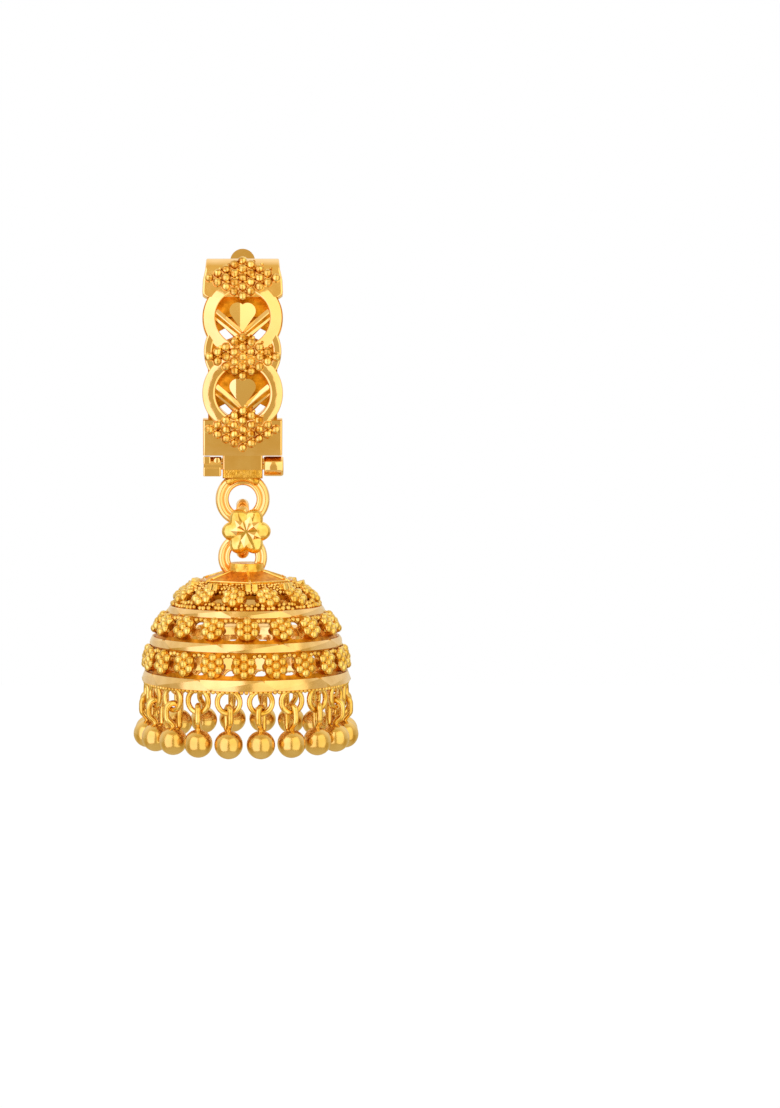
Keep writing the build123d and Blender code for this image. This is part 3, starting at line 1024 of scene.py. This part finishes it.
    def granules(self) -> Shell:
        """Three lozenges of granules, and a fine one in each pit between three of them.

        A lozenge's columns lose a granule at each step from the middle.

        Returns:
            The granules.
        """
        lift, pit_lift = self.granule_lifts
        places = []
        for field_height in self.field_heights:
            run = float(self.outline.run_at(field_height))
            for column in range(-self.columns, self.columns + 1):
                count = self.columns + 1 - abs(column)
                rows = run + (np.arange(count) - (count - 1) / 2) * self.row_pitch
                places += [(column * self.column_pitch, row, lift) for row in rows]
        large, drift = np.array(places), np.random.default_rng(7)
        large = large + drift.normal(0, self.granule_drifts[0], large.shape)
        small = large + np.array([self.column_pitch / 3, self.row_pitch / 2, pit_lift])
        small = small[np.abs(small[:, 0]) < (self.columns - 0.5) * self.column_pitch]
        small = small + drift.normal(0, self.granule_drifts[1], small.shape)
        radii = np.repeat([self.granule, self.pit_granule], [len(large), len(small)])
        radii = radii * drift.uniform(*self.granule_spread, len(radii))
        return bead(1.0, 14, 8).spread(self.outline.front(np.concatenate([large, small])), radii)

    def knuckles(self) -> Shell:
        """The hinge's ends: a slotted block on the left, a round barrel on the right, and the tongue.

        Returns:
            The blocks, the tongue and the barrel.
        """
        front = np.array([0, self.hinge[1] - self.knuckle - self.cover, self.hinge[2]])
        blocks = [soft_block(front + low, front + high, edge) for low, high, edge in self.hinge_blocks]
        upright = turned(self.barrel, 32)
        barrel = upright.bent(lambda points: points[:, [2, 0, 1]])
        return joined([*blocks, barrel.moved(0, self.hinge[1], self.hinge[2])])

    def solder(self) -> Shell:
        """Solder that ran over the tongue and onto the top of the ring.

        Returns:
            The solder.
        """
        low, high, edge = self.solder_block
        hinge = self.hinge * np.array([0, 1, 1])
        tongue = soft_block(hinge + low, hinge + high, edge)
        inwards, forwards = self.solder_shift
        turn = np.radians(np.linspace(*self.solder_turns, 14))
        over = np.insert(arc(turn, self.ring_wires[0][0] - inwards), 1, -forwards, axis=1)
        return joined([tongue, wire(self.ring_centre + over, (0, 1, 0), self.solder_radius, 12)])


# --- Flower link ----------------------------------------------------------------------------


@dataclass
class FlowerLink:
    """The oval wire link, with the six-petalled flower and its cut star in front."""

    pivot: Array  # middle of the link's top bend
    foot: Array  # top of its lower bend's wire, where the bell hangs
    wire_radius: float = 0.55
    bend: float = 1.2
    flower_back: float = 1.15  # from the wire's middle to the flower's back
    flower_thickness: float = 0.95
    flower_drop: float = 0.325  # of its middle under the pivot, against the link's length
    flower_shift: float = 0.3  # it sits off the link's middle
    lobe_reach: Pair = (1.58, 2.03)  # of the flower's edge, between and at the petals
    # How much of the face's height the clefts take away, and at what share of the outline they start.
    cleft: Pair = (0.55, 0.35)
    leaf: Triple = (1.22, 0.36, 0.2)  # length, half width and height
    leaf_start: float = 0.12
    leaf_lift: float = 0.09
    # The leaves' directions, as unevenly spaced as the hand that cut them left them.
    leaf_turns: tuple[float, ...] = (75.0, 36.0, -24.0, -98.0, 177.0, 135.0)

    def build(self) -> None:
        """Builds and dresses the link."""
        body, slot = Body.LINK, "gold_bright"
        make_piece("link_flower", self.flower(), Finish.CAST, body, slot, replaces=["flower_link"])
        make_piece("link_wire", self.oval(), Finish.POLISHED, body, slot)
        make_piece("link_star", self.star(), Finish.CUT, body, slot, crease=5)

    def oval(self) -> Shell:
        """The link's wire: two half circles joined by straight runs, in the YZ plane.

        Returns:
            The wire.
        """
        length = self.pivot[2] - self.foot[2] - self.bend
        upper = arc(np.linspace(0, np.pi, 15), self.bend)
        flat = np.concatenate([upper, -upper - np.array([0, length])])
        return wire(np.insert(flat, 0, 0, axis=1) + self.pivot, (1, 0, 0), self.wire_radius, 14, ring=True)

    def facing_front(self, shells: Iterable[Shell], lift: float) -> Shell:
        """Turns shells that lie in the xy plane to face the front.

        Args:
            shells: The shells, round the flower's middle.
            lift: How far in front of the middle of its thickness they go.

        Returns:
            The shells, as one.
        """
        drop = (self.pivot[2] - self.foot[2]) * self.flower_drop
        out = self.flower_back + self.flower_thickness / 2 + lift
        origin = self.pivot + np.array([self.flower_shift, -out, -drop])
        axes = np.array([[(1, 0, 0), (0, 0, 1), (0, -1, 0)]], float)
        return joined(shells).copies(origin[None], axes)

    def flower(self) -> Shell:
        """Six thick petals: the edge's reach is a wave of the turn, and the face is domed.

        The face's height falls with the fourth power of the share of the outline, and sinks
        towards the clefts between the petals.

        Returns:
            The flower.
        """
        sides, petals = 72, 6
        wave = 0.5 + 0.5 * np.cos(petals * np.arange(sides) * 2 * np.pi / sides)
        (near, far), (deep, start) = self.lobe_reach, self.cleft
        loop = circle(sides) * (near + (far - near) * np.sqrt(wave))[:, None]

        def top(share: Array, x: Array, y: Array) -> Array:
            """Height of the face."""
            sunk = 1 - deep * (1 - wave) * np.clip(share - start, 0, 1)
            return self.flower_thickness / 2 * np.sqrt(1.0001 - share**4) * sunk

        face = pillow(loop, 12, top, -0.01)
        return self.facing_front([face, face.scaled(1, 1, -1)], 0.0)

    def star(self) -> Shell:
        """Six cut leaves, each a low four-sided pyramid.

        Returns:
            The leaves.
        """
        length, half_width, height = self.leaf
        loop = np.array([(-0.5, 0.0), (0.05, -1.0), (0.5, 0.0), (0.05, 1.0)]) * [length, half_width]

        def top(share: Array, x: Array, y: Array) -> Array:
            """Height: a pyramid over the leaf."""
            return height * (1 - share) + self.leaf_lift

        out = np.insert(arc(np.radians(self.leaf_turns)), 2, 0, axis=1)
        ahead = np.broadcast_to([0.0, 0.0, 1.0], out.shape)
        axes = np.stack([out, np.cross(ahead, out), ahead], axis=1)
        leaves = pillow(loop, 1, top, -0.3).copies(out * (self.leaf_start + length / 2), axes)
        return self.facing_front([leaves], self.flower_thickness / 2)


# --- Bell -----------------------------------------------------------------------------------


@dataclass(frozen=True)
class Round:
    """Places spaced evenly round the bell.

    Attributes:
        count: How many there are.
        first: Turn of the first one, from the bell's front towards +X.
        radius: Distance from the bell's axis.
        depth: Depth under the collar's foot.
        rise: How far the outward direction points up.
    """

    count: int
    first: float
    radius: float
    depth: float
    rise: float = 0.0

    def frames(self, axis: Array, shift: Array | float = 0.0) -> tuple[Array, Array]:
        """The places, and directions to set things up by.

        Args:
            axis: Foot of the collar, on the bell's axis.
            shift: How far along each place is, as a share of their spacing.

        Returns:
            The places, and for each its across, up and outward directions.
        """
        turns = self.first + (np.arange(self.count) + shift) * 360 / self.count
        level = np.insert(arc(np.radians(turns - 90)), 2, 0, axis=1)
        across = np.cross((0, 0, 1), level)
        tilt = np.radians(self.rise)
        out = level * np.cos(tilt) + np.array([0, 0, np.sin(tilt)])
        origins = axis + level * self.radius - np.array([0, 0, self.depth])
        return origins, np.stack([across, np.cross(out, across), out], axis=1)


@dataclass(frozen=True)
class Band:
    """A cut band round the bell: radius and depth at its top and at its foot."""

    top: Pair
    foot: Pair
    cuts: int
    start: float


@dataclass
class Bell:
    """The bell: hexagonal cap, three rows of granule flowers, cut bands and rings for the drops."""

    axis: Array  # foot of the collar, on the bell's axis
    ring_centre: Array  # of the jump ring that the link passes through
    rows: tuple[Round, ...] = (
        Round(12, -11.0, 5.3, 1.93, 51.0),
        Round(16, 0.6, 7.15, 4.33, 33.0),
        Round(20, -1.4, 8.16, 7.18, 11.0),
    )
    petal_ring: float = 0.67
    granule: float = 0.385
    granule_lift: float = 0.14
    middle_lift: float = 0.21  # of a flower's middle granule
    bands: tuple[Band, ...] = (
        Band((6.3, 2.87), (6.52, 3.42), 8, 10.0),
        Band((7.79, 5.41), (8.0, 6.08), 9, 20.0),
        Band((8.46, 8.3), (8.66, 9.15), 10, 2.0),
    )
    band_crest: float = 0.13  # how far the crest stands out from the solid
    band_edge: float = 0.05
    band_root: float = 0.2  # how deep the band reaches into it
    band_climb: float = 0.8  # share of a cut over which its crest climbs
    band_reach: Pair = (0.9, 0.1)  # where the crest starts and ends, from the band's top to its foot
    rim_gap: float = 0.15  # from the lowest band down to where the rings' finish starts
    collar: Pair = (1.49, 0.68)  # radius and height
    collar_width: float = 0.5
    cap_depth: float = 1.4  # down to where the cap's finish ends
    cap_heads: Round = Round(6, 4.0, 1.62, 0.03)
    cap_feet: Round = Round(6, 4.0, 3.93, 0.74)
    ridge: float = 0.14
    cap_edge: float = 0.09
    stud_places: Round = Round(9, 5.0, 4.5, 1.16, 16.0)
    stud_size: Triple = (1.0, 0.68, 0.9)
    stud_groove: float = 0.08  # half its width, against half the stud's
    stud_edge: float = 0.07
    edge_granule: float = 0.2
    edge_shift: Pair = (0.22, 0.1)  # of the edge granules, inwards and down from the lowest band's foot
    filler: float = 0.21
    # Rings of fine granules: radius, depth and a granule's size against the filler's.
    filler_rings: tuple[Triple, ...] = (
        (4.1, 0.89, 0.6), (4.31, 1.07, 0.6), (4.52, 1.25, 0.65), (4.77, 1.47, 0.8),
        (5.83, 2.43, 1.0), (6.1, 2.69, 1.0),
    )
    filler_rise: float = 48.0
    filler_pitch: float = 2.15  # against a granule's radius
    filler_drifts: Pair = (0.12, 0.035)  # along its ring, against the pitch, and every way
    filler_spread: Pair = (0.85, 1.15)  # smallest and largest, against their size
    # A spray over the gap between two flowers: places across, up and out.
    spray: tuple[Triple, ...] = ((-0.42, 0.78, 0.04), (0.0, 0.84, 0.04), (0.42, 0.78, 0.04))
    ball_top: float = 12.4
    hook_places: Round = Round(20, -9.9, 8.33, 10.98)  # each on its rim ring's lowest wire
    hook_wire: float = 0.25
    hook_bend: float = 0.56
    hook_tail: float = 1.3
    # From the ball out to the shoulder: distance outwards and height over the rim ring's wire.
    hook_shoulder: tuple[Pair, ...] = (
        (0.0, -1.8), (0.0, -1.4), (0.03, -1.23), (0.13, -1.1), (0.28, -0.97), (0.43, -0.84),
        (0.53, -0.7), (0.56, -0.54), (0.56, -0.27),
    )
    # How far each hook has turned about its ring, going round from the front.
    hook_turns: tuple[float, ...] = (
        26, -30, 12, -24, 18, -28, 30, -10, 22, -16, 28, -22, 14, -26, 20, -12, 30, -20, -32, 24,
    )
    ring_wires: tuple[Pair, ...] = ((1.77, 0.285), (1.29, 0.245))

    def build(self) -> None:
        """Builds and dresses the bell and its drops."""
        # A matt cap and a pickled wall, whose orange is painted shade and warm reflection, cast rings under
        # the rim, and polished inside.
        rim = self.axis[2] - self.bands[-1].foot[1] - self.rim_gap
        dress_node("bell", zoned_material("gold_22k_openwork_wall", Finish.PICKLED, [
            (Finish.MATT, Level(self.axis[2] - self.cap_depth, Side.ABOVE)),
            (Finish.CAST, Level(rim, Side.BELOW)),
            (Finish.POLISHED, Hollow(tuple(self.axis), (1.0, 1.0, 0.0))),
        ]))
        hook = Level(self.axis[2] - self.ball_top, Side.ABOVE)
        drop = zoned_material("gold_22k_drop", Finish.SATIN, [(Finish.CAST, hook)])
        for node in frame["nodes"]:
            if node.startswith("drop_"):
                dress_node(node, drop)
        body, slot = Body.BELL, "gold_granulated"
        make_piece("bell_flowers", self.flowers(), Finish.CAST, body, slot)
        make_piece("bell_bands", self.cut_bands(), Finish.BURNISHED, body, slot, crease=9)
        make_piece("bell_cap", self.cap(), Finish.CAST, body, slot)
        make_piece("bell_collar", self.collar_ring(), Finish.SOLDER, body, slot)
        make_piece("bell_fillers", self.fillers(), Finish.CAST, body, slot)
        make_piece("bell_hooks", self.hooks(), Finish.CAST, body, "gold_satin")
        make_piece("bell_studs", self.studs(), Finish.CAST, body, slot)
        make_piece("bell_edge_granules", self.edge_granules(), Finish.CAST, body, slot)
        make_piece("bell_ring", hoops(self.ring_centre, self.ring_wires), Finish.POLISHED, body, slot)

    def flowers(self) -> Shell:
        """Each flower is six granules round a seventh, set on the wall.

        Returns:
            The flowers.
        """
        petals = np.insert(circle(6, self.petal_ring, np.pi / 6), 2, self.granule_lift, axis=1)
        spots = np.concatenate([petals, [(0, 0, self.middle_lift)]])
        flower = bead(self.granule).spread(spots)
        return joined(flower.copies(*row.frames(self.axis)) for row in self.rows)

    def fillers(self) -> Shell:
        """Fine granules: rings of them above and below the first row, and sprays in the corners.

        A spray is three granules over each gap between two flowers of the other rows.

        Returns:
            The fine granules.
        """
        grain = bead(self.filler, 8, 5)
        drift = np.random.default_rng(5)
        along, every_way = self.filler_drifts
        shells = []
        for radius, depth, size in self.filler_rings:
            count = int(2 * np.pi * radius / (self.filler_pitch * size * self.filler))
            ring = Round(count, 0.0, radius, depth, self.filler_rise)
            origins, axes = ring.frames(self.axis, drift.normal(0, along, count))
            origins = origins + drift.normal(0, every_way, origins.shape)
            sizes = size * drift.uniform(*self.filler_spread, count)
            shells.append(grain.copies(origins, axes * sizes[:, None, None]))
        spray = grain.spread(np.array(self.spray))
        sprays = [spray.copies(*row.frames(self.axis, 0.5)) for row in self.rows[1:]]
        return joined(shells + sprays)

    def hooks(self) -> Shell:
        """The drops' hooks: up from the ball, out over a shoulder, round the rim's ring and down.

        Returns:
            The hooks.
        """
        over = arc(np.linspace(0, np.pi, 11), self.hook_bend)
        tail = over[-1] - np.linspace(0, self.hook_tail, 4)[1:, None] * np.array([0, 1])
        path = np.concatenate([self.hook_shoulder, over, tail])
        hook = wire(np.insert(path, 2, 0, axis=1), (0, 0, 1), self.hook_wire, 10)
        origins, axes = self.hook_places.frames(self.axis)
        lean = np.radians(self.hook_turns)[:, None]
        out = np.cos(lean) * axes[:, 2] + np.sin(lean) * axes[:, 0]
        up = axes[:, 1]
        return hook.copies(origins, np.stack([out, up, np.cross(out, up)], axis=1))

    def cut_bands(self) -> Shell:
        """Bands of long leaf-shaped facets, as a cutter leaves them that is set down again and again.

        The crest between the upper and the lower facet climbs slowly from the band's foot to
        its top, over four fifths of a cut, and drops back over the last fifth.

        Returns:
            The bands.
        """
        turn = np.arange(360) * 2 * np.pi / 360
        low, high = self.band_reach
        shells = []
        for band in self.bands:
            top, foot = np.array(band.top), np.array(band.foot)
            down = (foot - top) / np.linalg.norm(foot - top)
            out = np.array([down[1], -down[0]])
            step = (turn / (2 * np.pi) + band.start / 360) * band.cuts % 1
            climbed = np.minimum(step / self.band_climb, (1 - step) / (1 - self.band_climb))
            share = low + (high - low) * climbed
            crest = top + share[:, None] * (foot - top) + self.band_crest * out
            edge, root = self.band_edge * out, self.band_root * out
            corners = (top + edge, crest, foot + edge, foot - root, top - root)
            section = np.stack([np.broadcast_to(corner, crest.shape) for corner in corners])
            around, depth = section[..., :1] * arc(turn), section[..., 1:]
            shells.append(grid_shell(np.concatenate([around, -depth], axis=-1)).moved(*self.axis))
        return joined(shells)

    def cap(self) -> Shell:
        """Six ridges down the cap's corners, and the fine edge that joins their feet.

        Returns:
            The ridges and the edge.
        """
        heads, _ = self.cap_heads.frames(self.axis)
        feet, _ = self.cap_feet.frames(self.axis)
        ridges = []
        for head, foot in zip(heads, feet):
            normal = np.cross(foot - head, (0, 0, 1))
            path = np.linspace(head, foot, 6)
            ridges.append(wire(path, normal / np.linalg.norm(normal), self.ridge, 8))
        edge = np.concatenate([
            np.linspace(foot, following, 6, endpoint=False)
            for foot, following in zip(feet, np.roll(feet, -1, axis=0))
        ])
        return joined([*ridges, wire(edge, (0, 0, 1), self.cap_edge, 8, ring=True)])

    def collar_ring(self) -> Shell:
        """The collar: a turned ring with a soft upper edge.

        Returns:
            The collar.
        """
        radius, height = self.collar
        inside = radius - self.collar_width
        collar = turned([
            (inside, 0.0), (radius, 0.0), (radius, height - 0.1), (radius - 0.03, height - 0.03),
            (radius - 0.1, height), (radius - 0.3, height), (inside, height - 0.06),
        ], 48, ring=True)
        return collar.moved(*self.axis)

    def studs(self) -> Shell:
        """Square studs under the cap's edge, each split by an upright groove.

        Returns:
            The studs.
        """
        half = np.array(self.stud_size) / 2
        left = soft_block(-half, half * np.array([-self.stud_groove, 1, 1]), self.stud_edge)
        return joined([left, left.scaled(-1, 1, 1)]).copies(*self.stud_places.frames(self.axis))

    def edge_granules(self) -> Shell:
        """A row of fine granules under the lowest band.

        Returns:
            The granules.
        """
        radius, depth = self.bands[-1].foot
        inwards, down = self.edge_shift
        count = int(2 * np.pi * radius / (2 * self.edge_granule))
        places = Round(count, 0.0, radius - inwards, depth + down)
        return bead(self.edge_granule, 8, 5).copies(*places.frames(self.axis))


# --- Stage ----------------------------------------------------------------------------------


@dataclass(frozen=True)
class Softbox:
    """A large soft lamp: its turn from the front, its tint, and how bright its face is (1 is white)."""

    name: str
    azimuth: float
    tint: str
    radiance: float


@dataclass
class Studio:
    """Pale floor, soft light from two large boxes, and the camera.

    Attributes:
        middle: The point of the earring's hanging plane that the camera stands level with.
    """

    middle: Array
    distance: float = 225.0
    eye_height: float = -8.6
    aim_height: float = -24.1
    lens: float = 87.7
    sensor: float = 36.0
    shift: float = 0.133
    softboxes: tuple[Softbox, ...] = (
        Softbox("softbox_left", -40.0, "#F3F4FF", 1.02),
        Softbox("softbox_right", 40.0, "#FFFFDD", 0.76),
    )
    box_size: Pair = (410.0, 730.0)
    box_climb: float = 5.0
    box_reach: float = 330.0
    floor_gap: float = 350.0
    floor_size: float = 6000.0
    paper: str = "#E9E7E2"
    paper_glow: float = 1.06  # brightness of the paper to the eye
    glow_share: float = 0.93  # the rest takes the earring's shadow
    # Painted pool of light: the paler glow that the metal mirrors from the floor near the earring and behind
    # it.
    pool: str = "#DED2A8"  # what metal mirrors of the floor near the earring and behind it
    pool_edges: Pair = (0.5, 0.2)  # metres from the earring where the pool starts and is full
    pool_behind: Pair = (0.1, 0.6)  # and metres behind it
    room: str = "#CEB66F"  # what metal mirrors from in front, below and above
    walls: str = "#DCD0A8"  # what it mirrors from the sides
    back: str = "#EDE6D0"  # what it mirrors from behind
    tent_stops: Triple = (0.32, 0.5, 0.72)  # where room, walls and back lie, from front (0) to back (1)
    tent_lift: float = 1.25  # how much brighter the metal mirrors what is above
    lift_edges: Pair = (0.1, 0.6)  # upward part of the mirrored direction where that starts and is full
    daylight: float = 0.6  # brightness of the world to all but eye and metal
    clip: Pair = (0.01, 20.0)  # metres

    @property
    def target(self) -> Vector:
        """The point that the camera and the lamps look at, in metres."""
        return Vector(self.middle * MM) + Vector((0, 0, self.aim_height * MM))

    def build(self) -> None:
        """Sets the floor, the world, the lamps and the camera."""
        self.floor()
        self.world()
        for softbox in self.softboxes:
            self.light(softbox)
        self.camera()
        bpy.context.scene.view_settings.view_transform = "Standard"

    def aim(self, holder: bpy.types.Object, eye: Vector) -> None:
        """Puts a lamp or camera at a point, turned to the earring.

        Args:
            holder: Its object.
            eye: The point, in metres.
        """
        bpy.context.scene.collection.objects.link(holder)
        holder.location = eye
        holder.rotation_mode = "QUATERNION"
        holder.rotation_quaternion = (self.target - eye).to_track_quat("-Z", "Y")

    def floor(self) -> None:
        """A pale floor under the earring: white to the eye. To the metal it glows, a painted reflection in a
        warm mid tone with a painted pool of light near the earring and behind it.
        """
        half, low = self.floor_size / 2, cad_box[0].z / MM - self.floor_gap
        corners = np.array([(-half, -half, low), (half, -half, low), (half, half, low), (-half, half, low)])
        mesh = bpy.data.meshes.new("floor")
        mesh.from_pydata((corners * MM).tolist(), [], [(0, 1, 2, 3)])
        foot = (self.middle[0] * MM, self.middle[1] * MM, low * MM)

        def surface(tree: Tree) -> Socket:
            """Adds paper for the eye, and for the metal a glowing floor with a pale pool: painted reflection
            and a painted pool of light.

            Args:
                tree: The material's node tree.

            Returns:
                The surface.
            """
            place = add_node(tree, "TexCoord", output="Object")
            away = add_node(tree, "VectorMath", {0: place, 1: foot}, "Value", operation="DISTANCE")
            behind = add_node(tree, "SeparateXYZ", {0: place}, "Y")
            near, back = (
                add_node(tree, "MapRange", {
                    "Value": value, "From Min": start, "From Max": full,
                }, interpolation_type="SMOOTHSTEP")
                for value, (start, full) in ((away, self.pool_edges), (behind, self.pool_behind))
            )
            pale = add_node(tree, "Math", {0: near, 1: back}, operation="MAXIMUM")
            tone = add_node(tree, "ValToRGB", {"Fac": pale}, stops=((0, self.room), (1, self.pool)))
            # Painted reflection: to mirrored rays the floor glows in this tone, though it is no lamp.
            mirrored = add_node(tree, "Emission", {"Color": tone, "Strength": 1.0})
            paper = add_node(tree, "BsdfDiffuse", {"Color": linear(self.paper)})
            glow = add_node(tree, "Emission", {"Strength": self.paper_glow})
            seen = add_node(tree, "LightPath", output="Is Camera Ray")
            share = add_node(tree, "Math", {0: seen, 1: self.glow_share}, operation="MULTIPLY")
            shown = add_node(tree, "MixShader", {0: share, 1: paper, 2: glow})
            in_metal = add_node(tree, "LightPath", output="Is Glossy Ray")
            return add_node(tree, "MixShader", {0: in_metal, 1: shown, 2: mirrored})

        mesh.materials.append(new_material("paper_matt_white", surface))
        floor = bpy.data.objects.new("floor", mesh)
        bpy.context.scene.collection.objects.link(floor)

    def world(self) -> None:
        """White to the eye. The metal sees a warm room in front, pale walls and white behind."""
        world = bpy.data.worlds.new("light_tent")
        bpy.context.scene.world = world
        world.use_nodes = True
        tree = world.node_tree
        tree.nodes.clear()
        way = add_node(tree, "TexCoord", output="Generated")
        ahead = add_node(tree, "SeparateXYZ", {0: way}, "Y")
        up = add_node(tree, "SeparateXYZ", {0: way}, "Z")
        depth = add_node(tree, "MapRange", {"Value": ahead, "From Min": -1.0})
        tones = tuple(zip(self.tent_stops, (self.room, self.walls, self.back)))
        tent = add_node(tree, "ValToRGB", {"Fac": depth}, stops=tones)
        start, full = self.lift_edges
        lift = add_node(tree, "MapRange", {
            "Value": up, "From Min": start, "From Max": full, "To Min": 1.0, "To Max": self.tent_lift,
        }, interpolation_type="SMOOTHSTEP")
        mirrored = add_node(tree, "Background", {"Color": tent, "Strength": lift})
        light = add_node(tree, "Background", {"Color": linear("#FFFFFF"), "Strength": self.daylight})
        backdrop = add_node(tree, "Background", {"Color": linear("#FFFFFF"), "Strength": 1.0})
        in_metal = add_node(tree, "LightPath", output="Is Glossy Ray")
        unseen = add_node(tree, "MixShader", {0: in_metal, 1: light, 2: mirrored})
        seen = add_node(tree, "LightPath", output="Is Camera Ray")
        shown = add_node(tree, "MixShader", {0: seen, 1: unseen, 2: backdrop})
        add_node(tree, "OutputWorld", {"Surface": shown})

    def light(self, softbox: Softbox) -> None:
        """Adds a softbox. A face of radiance 1 gives pi times its area in watts.

        Args:
            softbox: The softbox.
        """
        width, height = (size * MM for size in self.box_size)
        lamp = bpy.data.lights.new(softbox.name, "AREA")
        lamp.shape = "RECTANGLE"
        lamp.color = linear(softbox.tint)[:3]
        lamp.size, lamp.size_y = width, height
        lamp.energy = np.pi * width * height * softbox.radiance
        box = bpy.data.objects.new(softbox.name, lamp)
        turn, climb = np.radians(softbox.azimuth), np.radians(self.box_climb)
        away = Vector((np.sin(turn) * np.cos(climb), -np.cos(turn) * np.cos(climb), np.sin(climb)))
        self.aim(box, self.target + away * self.box_reach * MM)
        box.visible_camera = False

    def camera(self) -> None:
        """A camera in front of the hoop's middle, aimed a little down."""
        camera = bpy.data.cameras.new("camera")
        camera.lens, camera.sensor_width, camera.shift_x = self.lens, self.sensor, self.shift
        camera.clip_start, camera.clip_end = self.clip
        holder = bpy.data.objects.new("camera", camera)
        self.aim(holder, Vector(self.middle * MM) + Vector((0, -self.distance * MM, self.eye_height * MM)))
        bpy.context.scene.camera = holder


def main() -> None:
    """Builds the earring's looks from the hoop down, then the studio."""
    logging.basicConfig(level=logging.INFO, format="%(name)s: %(message)s")
    hinge, link_pivot, bell_pivot = map(joint_point, ("hoop_opening", "link_swing", "bell_swing"))
    outline = HoopOutline(middle=hinge[2] + HINGE_DROP)
    HoopFront(outline, hinge).build()
    for node in ("hoop_back", "hinge_pin"):
        dress_node(node, material_of(Finish.POLISHED))
    FlowerLink(pivot=link_pivot, foot=bell_pivot).build()
    collar_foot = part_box("bell")[0][2] / MM + BELL_DEPTH
    axis = np.array([bell_pivot[0] + BELL_SHIFT, bell_pivot[1], collar_foot])
    Bell(axis, ring_centre=np.array([0.0, bell_pivot[1], outline.middle - BELL_RING_DROP])).build()
    Studio(middle=np.array([0.0, bell_pivot[1], 0.0])).build()


if __name__ == "__main__":
    main()
